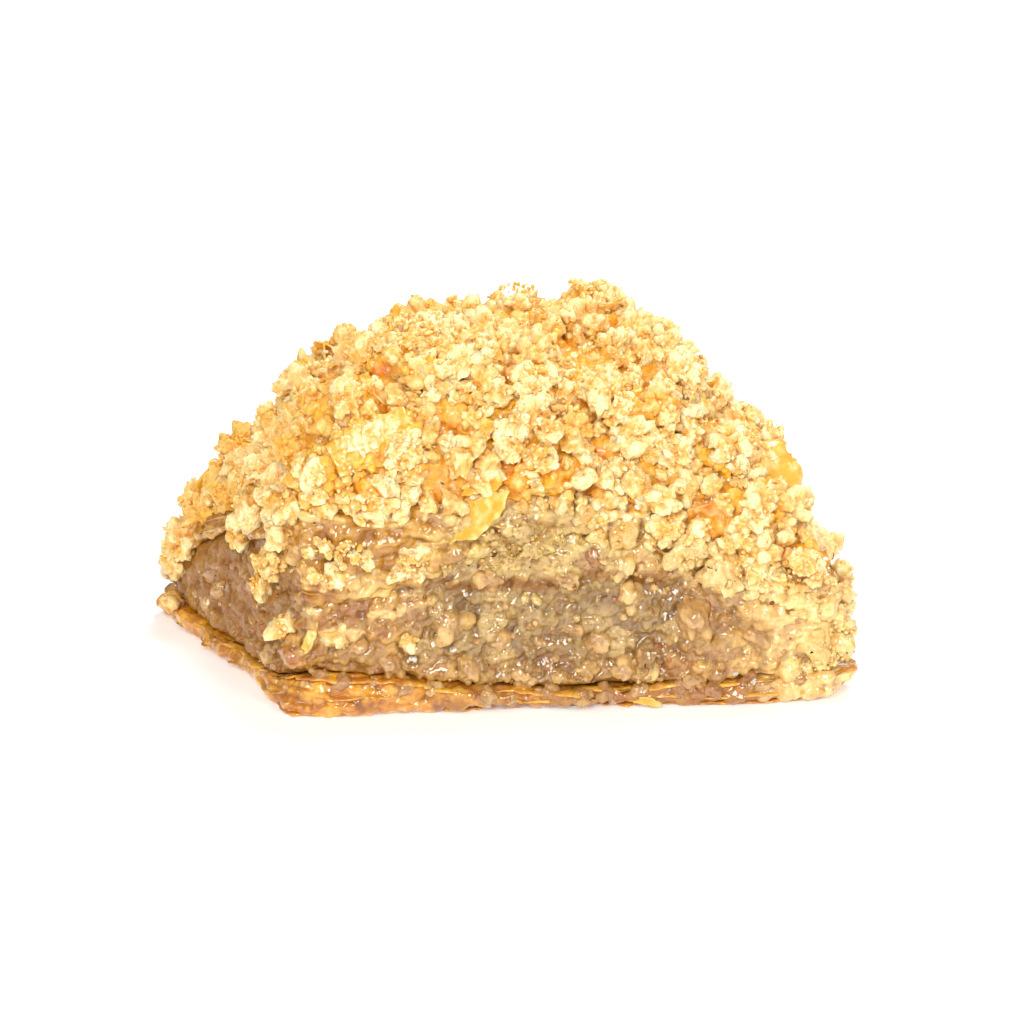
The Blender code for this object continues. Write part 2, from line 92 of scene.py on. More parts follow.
# Crumbs that stand out in the photo: pixel across, pixel down, diameter in mm, and tone from 0,
# golden, to 1, cream.
MAIN_CRUMBS = (
    # the highest cluster in front
    (461, 338, 2.4, 1.0), (481, 349, 2.6, 1.0), (447, 357, 2.5, 0.95), (461, 365, 2.6, 0.9),
    (486, 364, 2.0, 0.8),
    # front left of the top
    (436, 394, 2.2, 1.0), (474, 404, 2.3, 0.25), (486, 381, 2.5, 0.7), (499, 391, 2.2, 0.7),
    (413, 401, 1.8, 0.6), (397, 398, 1.9, 0.5), (426, 416, 2.0, 0.6), (429, 433, 1.9, 0.7),
    (447, 447, 2.0, 0.6), (406, 438, 2.6, 0.95), (404, 455, 2.8, 1.0), (390, 451, 1.9, 0.8),
    (413, 476, 2.0, 1.0), (408, 492, 2.8, 1.0), (402, 509, 2.2, 0.9), (386, 475, 2.0, 0.9),
    (376, 488, 2.4, 0.9), (370, 510, 3.2, 1.0), (384, 503, 2.0, 0.95), (322, 478, 2.5, 0.95),
    (317, 493, 2.1, 0.8), (325, 510, 1.9, 0.7), (301, 470, 1.7, 0.7), (308, 459, 1.5, 0.6),
    (345, 495, 2.0, 0.6), (461, 458, 2.2, 0.7), (470, 446, 2.0, 0.7), (488, 463, 2.4, 0.8),
    (486, 479, 2.4, 0.9), (452, 505, 1.9, 0.7), (430, 500, 2.0, 0.4),
    # middle of the top
    (535, 389, 3.2, 0.8), (520, 380, 2.2, 0.7), (527, 418, 3.2, 1.0), (545, 427, 2.6, 0.9),
    (524, 445, 3.4, 1.0), (513, 461, 2.0, 0.95), (542, 465, 1.6, 1.0), (526, 508, 1.6, 1.0),
    (578, 424, 3.1, 0.15), (601, 397, 2.5, 1.0), (619, 411, 3.1, 1.0), (631, 426, 2.4, 1.0),
    (605, 379, 2.2, 0.6), (619, 388, 1.9, 0.6), (639, 442, 2.4, 0.9), (647, 457, 2.6, 1.0),
    (622, 434, 1.7, 0.9), (581, 452, 1.7, 0.9), (587, 462, 1.6, 0.8), (580, 479, 2.2, 0.8),
    (603, 479, 1.9, 1.0), (619, 470, 1.9, 0.9), (637, 486, 2.2, 1.0), (560, 500, 2.4, 0.8),
    # right of the top
    (680, 379, 3.5, 1.0), (674, 369, 1.8, 1.0), (687, 392, 2.1, 1.0), (685, 413, 2.3, 0.95),
    (689, 430, 2.4, 1.0), (656, 404, 2.3, 0.3), (668, 414, 1.8, 0.6), (660, 434, 2.8, 0.75),
    (672, 456, 3.1, 0.95), (660, 502, 2.6, 0.8), (675, 490, 1.9, 1.0), (689, 486, 2.2, 0.9),
    (714, 488, 2.0, 0.8), (724, 501, 2.0, 0.7), (726, 438, 2.6, 0.95), (740, 447, 2.5, 0.9),
    (722, 453, 1.9, 1.0), (737, 468, 2.1, 0.9), (760, 454, 2.5, 1.0), (753, 439, 2.0, 0.8),
    (739, 421, 2.7, 0.7), (721, 401, 2.8, 0.8), (712, 383, 3.1, 0.8), (742, 404, 2.4, 0.6),
    (699, 360, 2.2, 0.6), (762, 501, 3.1, 0.95), (771, 491, 2.1, 0.9), (740, 484, 1.5, 0.9),
    (762, 535, 2.3, 0.8), (744, 541, 2.1, 0.8), (728, 545, 1.9, 0.9), (712, 546, 1.8, 0.8),
    (671, 529, 2.7, 0.8), (685, 549, 2.6, 0.9), (700, 528, 2.0, 0.7), (783, 540, 2.0, 0.7),
    # near right corner
    (764, 557, 2.1, 0.8), (792, 556, 2.1, 0.85), (809, 560, 2.9, 0.9), (781, 580, 1.8, 0.7),
    (826, 590, 2.0, 0.9), (840, 592, 1.8, 0.9), (847, 606, 1.8, 0.85), (827, 606, 2.5, 0.75),
    (846, 620, 1.9, 0.6), (836, 632, 2.7, 0.4), (841, 645, 2.4, 0.5), (830, 658, 2.5, 0.5),
    (815, 648, 2.2, 0.4), (790, 668, 2.0, 0.35), (807, 672, 1.7, 0.7),
    # near left corner of the front
    (353, 557, 3.5, 1.0), (338, 581, 2.0, 1.0), (318, 578, 1.6, 0.9), (327, 548, 1.4, 0.8),
    (310, 551, 1.3, 0.9), (412, 569, 3.0, 1.0), (423, 556, 1.9, 0.8), (401, 576, 1.8, 0.9),
    (523, 600, 1.2, 0.95), (539, 600, 1.1, 0.9), (410, 640, 1.5, 0.9), (340, 638, 1.9, 0.7),
    # left face
    (289, 502, 2.5, 0.7), (285, 531, 3.1, 0.7), (254, 511, 3.1, 0.7), (246, 538, 2.7, 0.7),
    (278, 564, 3.5, 0.4), (262, 583, 2.0, 0.6), (287, 628, 2.3, 0.7), (272, 471, 3.5, 0.6),
    (224, 498, 2.7, 0.6), (281, 440, 2.7, 0.6), (190, 540, 3.4, 0.6), (178, 563, 2.7, 0.6),
    (174, 606, 2.0, 0.5),
    # top of the back
    (594, 304, 3.5, 0.4), (578, 318, 2.8, 0.5), (400, 322, 4.0, 0.6), (384, 338, 3.2, 0.6),
    (362, 354, 3.2, 0.5), (478, 322, 3.0, 0.4), (545, 320, 3.1, 0.4), (520, 336, 2.6, 0.7),
    (628, 336, 2.8, 0.4), (641, 352, 2.6, 0.5), (332, 376, 3.1, 0.5), (310, 394, 3.0, 0.5),
    (350, 401, 2.7, 0.6),
)

# Glossy nut pieces bedded in the front of the filling: pixel across, pixel down, diameter in mm,
# and tone from 0, brown skin, to 1, pale olive.
FRONT_NUTS = (
    (496, 580, 2.3, 0.7), (562, 584, 2.5, 0.9), (512, 547, 2.0, 0.6), (466, 674, 2.6, 0.75),
    (525, 678, 2.3, 0.65), (557, 676, 1.8, 0.8), (633, 598, 2.5, 0.85), (657, 666, 2.6, 0.95),
    (696, 626, 2.9, 0.7), (692, 678, 2.2, 0.45), (716, 678, 2.0, 0.5), (588, 554, 1.7, 0.2),
    (625, 570, 2.2, 0.9), (642, 568, 1.6, 0.9), (448, 617, 3.2, 0.8), (759, 634, 2.5, 0.6),
    (600, 640, 2.2, 0.7), (570, 630, 2.0, 0.5), (620, 668, 2.0, 0.7), (585, 672, 2.1, 0.8),
    (540, 640, 1.9, 0.6), (500, 640, 2.0, 0.55), (730, 655, 1.9, 0.5), (665, 590, 1.8, 0.8),
    (390, 665, 2.0, 0.5), (360, 650, 2.1, 0.5),
    # along the seam with the base
    (322, 676, 1.6, 0.4), (346, 680, 1.9, 0.3), (372, 682, 1.5, 0.5), (404, 684, 2.0, 0.4),
    (432, 686, 1.5, 0.6), (484, 692, 1.7, 0.5), (512, 693, 1.3, 0.6), (544, 694, 1.9, 0.4),
    (582, 694, 1.5, 0.5), (606, 692, 1.8, 0.35), (640, 691, 1.5, 0.5), (676, 688, 1.9, 0.3),
    (714, 686, 1.6, 0.2), (742, 684, 1.9, 0.15), (772, 680, 1.6, 0.3), (800, 676, 1.4, 0.6),
)

# Sugar grains: pixel across, pixel down, and diameter in mm.
SUGAR_GRAINS = (
    (388, 384, 0.9), (388, 407, 0.9), (427, 449, 1.0), (322, 440, 0.9), (492, 428, 0.7),
    (323, 433, 0.6), (351, 470, 1.0), (569, 387, 1.0), (499, 676, 1.1), (410, 655, 1.2),
    (468, 594, 1.0), (713, 459, 0.9), (722, 474, 0.8), (692, 443, 0.9), (612, 372, 0.8),
    (505, 364, 0.8), (752, 680, 0.9), (738, 672, 0.8),
)

# Pastry sheets that show in the photo: pixels of both ends, width in mm, how pointed the ends
# are, curl in mm, lift off the surface in mm, and tone from 0, deep orange, to 1, pale yellow.
PHOTO_FLAKES = (
    (334, 462, 413, 424, 4.4, 0.2, 0.5, 0.5, 0.62),
    (445, 541, 523, 493, 2.7, 0.8, 0.5, 0.6, 0.75),
    (746, 441, 802, 501, 4.0, 0.75, -0.9, 0.9, 0.85),
    (461, 490, 511, 481, 1.7, 0.6, 0.4, 0.6, 0.75),
    (630, 515, 651, 508, 1.3, 0.7, 0.1, 0.5, 0.12),
    (683, 514, 722, 507, 1.8, 0.3, 0.2, 0.4, 0.2),
    (742, 494, 765, 481, 1.1, 0.6, 0.1, 0.6, 0.25),
    (304, 653, 317, 620, 0.9, 0.6, 0.2, 0.5, 0.7),
    (443, 478, 462, 500, 2.2, 0.3, 0.2, 0.2, 0.05),
    (492, 444, 502, 458, 1.8, 0.4, 0.2, 0.3, 0.05),
    (632, 698, 662, 704, 0.9, 0.7, 0.2, 0.0, 0.8),
    (560, 446, 582, 440, 2.2, 0.3, 0.2, 0.3, 0.5),
    (700, 424, 712, 468, 2.4, 0.3, 0.3, 0.2, 0.45),
    (312, 392, 352, 372, 3.0, 0.3, 0.5, 0.5, 0.7),
    (372, 404, 392, 384, 2.0, 0.4, 0.3, 0.3, 0.35),
)

# Gaps between the crumbs that show amber syrup in the photo: pixel across, down, and radius in mm.
AMBER_GAPS = (
    (705, 440, 1.3), (708, 462, 1.2), (566, 443, 1.2), (452, 489, 1.5), (498, 450, 1.3),
    (352, 448, 1.5), (378, 436, 1.5), (404, 420, 1.2), (556, 478, 1.2), (620, 512, 1.0),
    (700, 510, 1.4), (652, 474, 1.0), (588, 492, 1.1), (430, 468, 1.2), (344, 530, 1.2),
    (640, 400, 1.0), (586, 408, 1.0), (512, 400, 1.1), (452, 424, 1.0), (740, 500, 1.0),
    (420, 520, 1.1), (470, 520, 1.1), (330, 400, 1.4), (376, 366, 1.3), (560, 345, 1.2),
    (650, 372, 1.2), (264, 478, 1.5), (232, 520, 1.4),
)

# Section of a sheet's edge: share of its reach, where less than 0 lies inside, share of its
# thickness, and how far it droops as a share of its reach.
SHEET_SECTION = ((-1.2, 1.2, 0.0), (0.0, 1.0, 0.0), (0.6, 0.8, 0.06), (1.0, 0.5, 0.2))

# Edges that stand out of a pastry layer: share of the layer's height and thickness in mm of each
# sheet, then how far they reach in mm, and the seed of their waves.
BASE_EDGES = (((0.08, 0.1), (0.5, 0.1), (0.9, 0.12)), 0.7, 71)
TOP_EDGES = (((0.15, 0.12), (0.6, 0.12)), 0.8, 171)
EDGE_POINTS = 460

# Distances from the upright line through the piece's middle, in mm: of the circle that the edges'
# waves are read along, and of where rays start towards the walls.
EDGE_RING = 26.0
OUTSIDE = 60.0

# Height of a sheet and depth of its relief, in mm.
BASE_SHEETS = (0.75, 0.55)
TOP_SHEETS = (0.95, 0.8)

# Skins: voxels that they start from, how far they lie off the solids, and how near another layer
# hides them, in mm.
VOXELS = {"base_pastry": 0.45, "nut_filling": 0.48, "top_pastry": 0.45, "nut_topping": 0.5}
SKIN_LIFT = 0.16
HIDING_REACH = 1.2

# Packed grains of the filling and of the topping: their size and depth, in mm.
FILLING_GRAINS = ((2.3, 0.6), (1.1, 0.45), (0.6, 0.24))
TOPPING_GRAINS = ((2.6, 0.7), (1.2, 0.45), (0.6, 0.22))

# Rounds of smoothing for skins, for the syrup film over them, and for the slope under crumbs.
SKIN_ROUNDS = 2
FILM_ROUNDS = 9
SLOPE_ROUNDS = 30

# Steps of angle round the piece at which the height of an open layer is read.
BAND_SLOTS = 120

# Random numbers: the seed of them all, and the factors that mix the noise.
SEED = 5
SEED_FACTOR = 2654435761
AXIS_FACTORS = (73856093, 19349663, 83492791)
MIXING_FACTORS = (2146121005, 2221713035)

# Rounds of scattered crumbs: how many are tried, smallest and largest radius in mm, how many are
# kept at most, how close they may lie, and the share that is left where the photo's own crumbs are.
CRUMB_ROUNDS = (
    (1400, 0.9, 1.7, 150, 0.85, 0.15),
    (5000, 0.5, 0.9, 420, 0.8, 0.45),
    (900, 0.2, 0.45, 700, 0.0, 0.8),
)

# Granules that sit on the crumbs: how many, and smallest and largest radius in mm.
GRANULES = ((1300, 0.26, 0.46), (6000, 0.12, 0.26))

# Smallest radius of a crumb that granules sit on, and the place that they face away from, in mm.
HOST_RADIUS = 0.5
HEAP_MIDDLE = (0.0, 0.0, 6.0)

# Crumb pieces from the largest crumbs to the smallest: how many, detail of the ball that each
# starts from, lobes, size of a lobe, of the crumb's core, and depth and size of the grains on it,
# as shares of its radius.
CRUMB_KINDS = (
    ("large_crumbs", 22, 5, 60, 0.27, 0.55, 0.18, 0.24),
    ("broad_crumbs", 145, 4, 40, 0.32, 0.6, 0.22, 0.3),
    ("middle_crumbs", 540, 3, 16, 0.42, 0.66, 0.26, 0.45),
    ("small_crumbs", 2000, 2, 6, 0.5, 0.75, 0.16, 0.8),
    ("fine_crumbs", 6000, 1, 4, 0.5, 0.8, 0.1, 0.9),
)

# The same for nut pieces and grit. For sugar and specks: detail of the ball, and flat sides.
NUT_SHAPE = (4, 14, 0.45, 0.75, 0.1, 0.4)
GRIT_SHAPE = (2, 5, 0.5, 0.75, 0.1, 0.9)
SUGAR_SHAPE = (2, 10)
SPECK_SHAPE = (1, 6)

# How many shapes the crumbs, and the pieces of any other kind, are turned copies of.
CRUMB_SHAPES = 14
OTHER_SHAPES = 8

# Nut pieces away from the front: how many are tried and kept, smallest and largest radius in mm.
HIDDEN_NUTS = (400, 28, 0.8, 1.5)

# Grains on the filling and loose sugar: how many, smallest and largest radius in mm.
GRIT = (260, 0.14, 0.4)
LOOSE_SUGAR = (90, 0.1, 0.24)
SHARDS_IN_SUGAR_GRAIN = 4

# Nut skin specks: the layer, how many lie on it, and how far off it, in mm. Then their smallest
# and largest radius in mm, and how flat they are.
SPECKS = (("nut_topping", 260, 0.9), ("nut_filling", 160, 0.1), ("top_pastry", 50, 0.1))
SPECK_RADII = (0.1, 0.34)
SPECK_STRETCH = (1.0, 0.7, 0.25)

# Flakes away from the front: how many, least and most length and width in mm, how pointed the
# ends are, tone, and curl in mm. All flakes: thickness in mm, and points along and across.
LOOSE_FLAKES = 34
FLAKE_LENGTHS = (2.5, 7.0)
FLAKE_WIDTHS = (1.2, 3.2)
FLAKE_POINTS = (0.2, 0.8)
FLAKE_TONES = (0.2, 0.9)
FLAKE_CURL = 0.4
FLAKE_THICKNESS = 0.16
FLAKE_GRID = (24, 9)

# Pastry colours: in patches, between them, along the edges, and where it is browned, which also
# paints the shade in the grooves.
BASE_COLOURS = ((188, 112, 16), (226, 160, 34), (238, 186, 78), (150, 84, 20))
TOP_COLOURS = ((164, 106, 20), (200, 150, 52), (238, 208, 130), (144, 84, 20))

SYRUP_IOR = 1.6
SYRUP_ROUGHNESS = 0.03

# Lamps: name, place and side in metres, and power in watts.
LAMPS = (
    ("key", (0.16, 0.22, 0.56), 0.28, 3.1),
    ("front", (-0.12, -0.48, 0.30), 0.20, 2.1),
    ("front_right", (0.26, -0.42, 0.34), 0.14, 0.9),
    ("left", (-0.42, -0.26, 0.36), 0.14, 0.5),
)
LAMP_COLOUR = (1.0, 0.98, 0.94)
SKY_COLOUR = (1.0, 0.97, 0.91, 1.0)
SKY_STRENGTH = 0.28


def hashed(cells, seed):
    """Three repeatable numbers from 0 to 1 for each row of three whole numbers."""
    cells = cells.astype(np.int64).astype(np.uint32)
    mixed = np.uint32((seed * SEED_FACTOR) % 2**32)
    for axis, factor in enumerate(AXIS_FACTORS):
        mixed = mixed ^ (cells[..., axis] * np.uint32(factor))
    first, second = (np.uint32(factor) for factor in MIXING_FACTORS)
    numbers = []
    for _ in range(3):
        mixed = (mixed ^ (mixed >> np.uint32(16))) * first
        mixed = (mixed ^ (mixed >> np.uint32(15))) * second
        mixed = mixed ^ (mixed >> np.uint32(16))
        numbers.append(mixed / 2.0**32)
    return np.stack(numbers, axis=-1)


def smooth_noise(points, grain, seed=0):
    """Smooth noise from -1 to 1 with the given grain size in mm."""
    places = np.asarray(points) / grain + 17.3 * seed
    cells = np.floor(places)
    part = places - cells
    part = part * part * (3 - 2 * part)
    total = np.zeros(len(places))
    for i in (0, 1):
        for j in (0, 1):
            for k in (0, 1):
                corner = hashed(cells + (i, j, k), seed)[:, 0]
                weight = np.abs(1 - i - part[:, 0]) * np.abs(1 - j - part[:, 1])
                total += corner * weight * np.abs(1 - k - part[:, 2])
    return 2 * total - 1


def grains(points, size, seed=0):
    """Packed round grains: height from 0 in the creases to 1, and a number for each grain."""
    places = np.asarray(points) / size
    cells = np.floor(places)
    nearest = np.full(len(places), 9.0)
    number = np.zeros(len(places))
    for i in (-1, 0, 1):
        for j in (-1, 0, 1):
            for k in (-1, 0, 1):
                random = hashed(cells + (i, j, k), seed)
                centre = cells + (i, j, k) + 0.15 + 0.7 * random
                away = np.sum((places - centre) ** 2, axis=1)
                closer = away < nearest
                nearest = np.where(closer, away, nearest)
                number = np.where(closer, random[:, 1], number)
    return np.sqrt(np.clip(1 - nearest / 0.42, 0, 1)), number


def step(values, low, high):
    """0 below low, 1 above high, and smooth between."""
    share = np.clip((values - low) / (high - low), 0, 1)
    return share * share * (3 - 2 * share)


def waves(points, *layers, start=0.0):
    """Smooth noise added to a start, in layers of weight, grain in mm and seed."""
    noises = (weight * smooth_noise(points, grain, seed) for weight, grain, seed in layers)
    return sum(noises, start)


def unit(vectors):
    """Rows of vectors, each brought to length 1."""
    return vectors / np.linalg.norm(vectors, axis=-1, keepdims=True)


def added(pieces, more):
    """The arrays of some pieces with those of more pieces after them."""
    return tuple(np.concatenate(pair) for pair in zip(pieces, more))


def vertex_normals(verts, faces):
    """Normals at the vertices, from the triangles round them."""
    corners = verts[faces]
    flat = np.cross(corners[:, 1] - corners[:, 0], corners[:, 2] - corners[:, 0])
    normals = np.zeros_like(verts)
    for corner in range(3):
        for axis in range(3):
            normals[:, axis] += np.bincount(faces[:, corner], flat[:, axis], len(verts))
    return normals / np.maximum(np.linalg.norm(normals, axis=1, keepdims=True), 1e-12)


def smoothed(verts, faces, rounds):
    """Vertices drawn towards their neighbours, a few times over."""
    edges = np.concatenate((faces[:, (0, 1)], faces[:, (1, 2)], faces[:, (2, 0)]))
    count = np.bincount(edges[:, 0], minlength=len(verts))[:, None]
    for _ in range(rounds):
        around = np.zeros_like(verts)
        for axis in range(verts.shape[1]):
            around[:, axis] = np.bincount(edges[:, 0], verts[edges[:, 1], axis], len(verts))
        verts = 0.5 * verts + 0.5 * around / np.maximum(count, 1)
    return verts


def refined(verts, faces, marked):
    """Splits the marked triangles in four, and their neighbours so that no gap opens."""
    ends = np.sort(faces[:, ((0, 1), (1, 2), (2, 0))], axis=2).astype(np.int64)
    keys = ends[..., 0] * len(verts) + ends[..., 1]
    cut_keys = np.unique(keys[marked])
    halves = (verts[cut_keys // len(verts)] + verts[cut_keys % len(verts)]) / 2
    middle = len(verts) + np.searchsorted(cut_keys, keys)
    cut = np.isin(keys, cut_keys)
    count = cut.sum(axis=1)
    parts = [faces[count == 0]]
    a, b, c = faces[count == 3].T
    ab, bc, ca = middle[count == 3].T
    parts += [np.stack(t, 1) for t in ((a, ab, ca), (ab, b, bc), (ca, bc, c), (ab, bc, ca))]
    for edge in range(3):
        first, second, third = edge, (edge + 1) % 3, (edge + 2) % 3
        one = (count == 1) & cut[:, edge]
        a, b, c, ab = faces[one, first], faces[one, second], faces[one, third], middle[one, edge]
        parts += [np.stack((a, ab, c), 1), np.stack((ab, b, c), 1)]
        two = (count == 2) & ~cut[:, third]
        a, b, c = faces[two, first], faces[two, second], faces[two, third]
        ab, bc = middle[two, first], middle[two, second]
        parts += [np.stack(t, 1) for t in ((ab, b, bc), (a, ab, bc), (a, bc, c))]
    return np.concatenate((verts, halves)), np.concatenate(parts)


def film_normals(verts, faces):
    """Normals of the syrup film, which lies smoothly over the grains."""
    return vertex_normals(smoothed(verts, faces, FILM_ROUNDS), faces)


def mesh_arrays(mesh):
    """Vertices in mm and triangles of a Blender mesh."""
    verts = np.empty(len(mesh.vertices) * 3)
    mesh.vertices.foreach_get("co", verts)
    mesh.calc_loop_triangles()
    faces = np.empty(len(mesh.loop_triangles) * 3, dtype=np.int32)
    mesh.loop_triangles.foreach_get("vertices", faces)
    return verts.reshape(-1, 3) * TO_MM, faces.reshape(-1, 3)


def make_piece(name, material, slot, verts, faces, values, nodes=()):
    """A mesh piece from arrays in mm, with its values for each vertex."""
    mesh = bpy.data.meshes.new(name)
    mesh.vertices.add(len(verts))
    mesh.vertices.foreach_set("co", (verts * MM).astype(np.float32).ravel())
    mesh.loops.add(faces.size)
    mesh.loops.foreach_set("vertex_index", faces.astype(np.int32).ravel())
    mesh.polygons.add(len(faces))
    mesh.polygons.foreach_set("loop_start", np.arange(0, faces.size, 3, dtype=np.int32))
    for value_name, numbers in values.items():
        kind, field = ("FLOAT", "value") if numbers.ndim == 1 else ("FLOAT_VECTOR", "vector")
        attribute = mesh.attributes.new(value_name, kind, "POINT")
        attribute.data.foreach_set(field, numbers.astype(np.float32).ravel())
    mesh.update(calc_edges=True)
    mesh.validate()
    mesh.shade_smooth()
    mesh.materials.append(material)
    piece = bpy.data.objects.new(name, mesh)
    bpy.context.scene.collection.objects.link(piece)
    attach(piece, "root")
    if nodes:
        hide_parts(*nodes)
    return piece


def skin_of(node):
    """The node's solid as an even, softened mesh, ready to be given relief."""
    copy = bpy.data.objects.new(node + "_copy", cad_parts[node].data.copy())
    bpy.context.scene.collection.objects.link(copy)
    remesh = copy.modifiers.new("remesh", "REMESH")
    remesh.mode = "VOXEL"
    remesh.voxel_size = VOXELS[node] * MM
    seen = copy.evaluated_get(bpy.context.evaluated_depsgraph_get())
    mesh = bpy.data.meshes.new_from_object(seen)
    verts, faces = mesh_arrays(mesh)
    bpy.data.objects.remove(copy)
    bpy.data.meshes.remove(mesh)
    return smoothed(verts, faces, SKIN_ROUNDS), faces


def tree_of(verts, faces):
    return BVHTree.FromPolygons(verts.tolist(), faces.tolist())


def open_share(verts, normals, trees):
    """1 where a surface is open to the air, 0 where another layer lies right on it."""
    share = np.ones(len(verts))
    for i, (place, normal) in enumerate(zip(verts, normals)):
        start = Vector(place + 0.05 * normal)
        for tree in trees:
            if tree.ray_cast(start, Vector(normal), HIDING_REACH)[0] is not None:
                share[i] = 0.0
                break
    return share


def facing_view(verts, normals):
    """1 on what faces the photo's view at the front of the piece, and 0 elsewhere."""
    return step(normals @ -FORWARD, 0.2, 0.6) * step(-verts[:, 1], 2.0, 6.0)


def pixel_ray(across, down):
    """The direction in which the camera sees a pixel."""
    half = PICTURE_SIDE / 2
    direction = FORWARD + (RIGHT * (across - half) - UP * (down - half)) / FOCAL_PIXELS
    return Vector(direction / np.linalg.norm(direction))


def under_pixel(across, down, trees):
    """Where the ray of a pixel first meets the trees, stepping inwards if it misses them."""
    place = np.array((across, down), dtype=float)
    for _ in range(INWARD_STEPS):
        best = None
        for tree in trees:
            hit, normal, _, away = tree.ray_cast(Vector(CAMERA_PLACE), pixel_ray(*place))
            if hit is not None and (best is None or away < best[2]):
                best = (np.array(hit), np.array(normal), away)
        if best:
            return best[0], best[1]
        inward = PIECE_MIDDLE - place
        place += INWARD_PIXELS * inward / np.linalg.norm(inward)
    return None


def ball(subdivisions):
    """Directions and triangles of an even ball."""
    mesh = bmesh.new()
    bmesh.ops.create_icosphere(mesh, subdivisions=subdivisions, radius=1.0)
    verts = np.array([vert.co for vert in mesh.verts])
    faces = np.array([[vert.index for vert in face.verts] for face in mesh.faces])
    mesh.free()
    return verts, faces


def crumb_shape(rng, subdivisions, lobes, lobe_size, core, grit, grain):
    """A broken, granular crumb of mean radius 1: vertices, triangles, how deep each vertex lies."""
    directions, faces = ball(subdivisions)
    turn = rng.uniform(0, 50, size=3)
    bend = [smooth_noise(directions + turn, 0.5, 5 + axis) for axis in range(3)]
    bent = unit(directions + 0.3 * np.stack(bend, axis=1))
    radius = np.full(len(directions), core)
    for _ in range(lobes):
        place = rng.normal(size=3)
        place *= rng.uniform(0.35, 0.95) / np.linalg.norm(place)
        size = lobe_size * rng.uniform(0.4, 1.3)
        along = bent @ place
        inside = size**2 - place @ place + along**2
        reach = np.where((inside > 0) & (along > 0), along + np.sqrt(np.maximum(inside, 0)), 0)
        radius = np.maximum(radius, reach)
    for _ in range(2):
        normal = rng.normal(size=3)
        normal /= np.linalg.norm(normal)
        along = directions @ normal
        cut = rng.uniform(0.75, 0.95)
        radius = np.where(along > 0.05, np.minimum(radius, cut / np.maximum(along, 0.05)), radius)
    bump, _ = grains(directions + turn, grain, 3)
    radius = radius + grit * (bump - 0.5) + 0.2 * grit * rng.normal(size=len(radius))
    radius /= radius.mean()
    deep = 1 - (radius - radius.min()) / np.ptp(radius)
    stretch = rng.uniform(0.75, 1.3, size=3)
    return directions * radius[:, None] * stretch, faces, deep


def shard_shape(rng, subdivisions, cuts):
    """A broken grain with flat sides."""
    directions, faces = ball(subdivisions)
    radius = np.full(len(directions), 1.3)
    for _ in range(cuts):
        normal = rng.normal(size=3)
        normal /= np.linalg.norm(normal)
        along = directions @ normal
        radius = np.where(along > 0.05, np.minimum(radius, rng.uniform(0.6, 0.95) / along), radius)
    stretch = rng.uniform(0.7, 1.3, size=3)
    return directions * radius[:, None] * stretch, faces, np.zeros(len(directions))


def turns(rng, count):
    """Random rotation matrices."""
    w, x, y, z = unit(rng.normal(size=(count, 4))).T
    rows = (
        (1 - 2 * (y * y + z * z), 2 * (x * y - z * w), 2 * (x * z + y * w)),
        (2 * (x * y + z * w), 1 - 2 * (x * x + z * z), 2 * (y * z - x * w)),
        (2 * (x * z - y * w), 2 * (y * z + x * w), 1 - 2 * (x * x + y * y)),
    )
    return np.stack([np.stack(row, axis=-1) for row in rows], axis=1)


def slopes(points, verts, faces):
    """Smooth normals of a surface at the vertices nearest to the points."""
    normals = vertex_normals(smoothed(verts, faces, SLOPE_ROUNDS), faces)
    tree = KDTree(len(verts))
    for i, place in enumerate(verts):
        tree.insert(place, i)
    tree.balance()
    return normals[[tree.find(place)[1] for place in points]]


def scattered(rng, shapes, centres, radii, lie=None, **values):
    """Copies of the shapes joined into one mesh: vertices, triangles, and values by vertex."""
    spins = turns(rng, len(centres))
    kinds = rng.integers(0, len(shapes), len(centres))
    all_verts, all_faces = [], []
    all_values = {name: [] for name in (*values, "deep", "film")}
    start = 0
    for kind, (verts, faces, deep) in enumerate(shapes):
        chosen = np.nonzero(kinds == kind)[0]
        if not len(chosen):
            continue
        placed = np.einsum("cij,vj->cvi", spins[chosen], verts) * radii[chosen, None, None]
        low = placed.min(axis=1) + centres[chosen]
        high = placed.max(axis=1) + centres[chosen]
        shift = np.maximum(BOX_LOW - low, 0) - np.maximum(high - BOX_HIGH, 0)
        film = unit(placed)
        if lie is not None:
            laid = unit(film + lie[chosen, None, :])
            near = step(np.sum(laid * film, axis=2, keepdims=True), 0.45, 0.9)
            film = film + near * (laid - film)
        placed += (centres[chosen] + shift)[:, None, :]
        all_verts.append(placed.reshape(-1, 3))
        steps = start + np.arange(len(chosen)) * len(verts)
        all_faces.append((faces[None] + steps[:, None, None]).reshape(-1, 3))
        for name, numbers in values.items():
            all_values[name].append(np.repeat(numbers[chosen], len(verts)))
        all_values["deep"].append(np.tile(deep, len(chosen)))
        all_values["film"].append(film.reshape(-1, 3))
        start += len(chosen) * len(verts)
    joined = {name: np.concatenate(numbers) for name, numbers in all_values.items()}
    return np.concatenate(all_verts), np.concatenate(all_faces), joined


def surface_points(rng, count, verts, faces, wanted):
    """Random points and normals on the triangles, as likely as their area times wanted."""
    corners = verts[faces]
    cross = np.cross(corners[:, 1] - corners[:, 0], corners[:, 2] - corners[:, 0])
    size = np.linalg.norm(cross, axis=1)
    chance = size * wanted[faces].mean(axis=1)
    picked = rng.choice(len(faces), count, p=chance / chance.sum())
    a, b = rng.random((2, count, 1))
    over = a + b > 1
    a, b = np.where(over, 1 - a, a), np.where(over, 1 - b, b)
    base = corners[picked]
    points = base[:, 0] + a * (base[:, 1] - base[:, 0]) + b * (base[:, 2] - base[:, 0])
    return points, cross[picked] / np.maximum(size[picked, None], 1e-12)


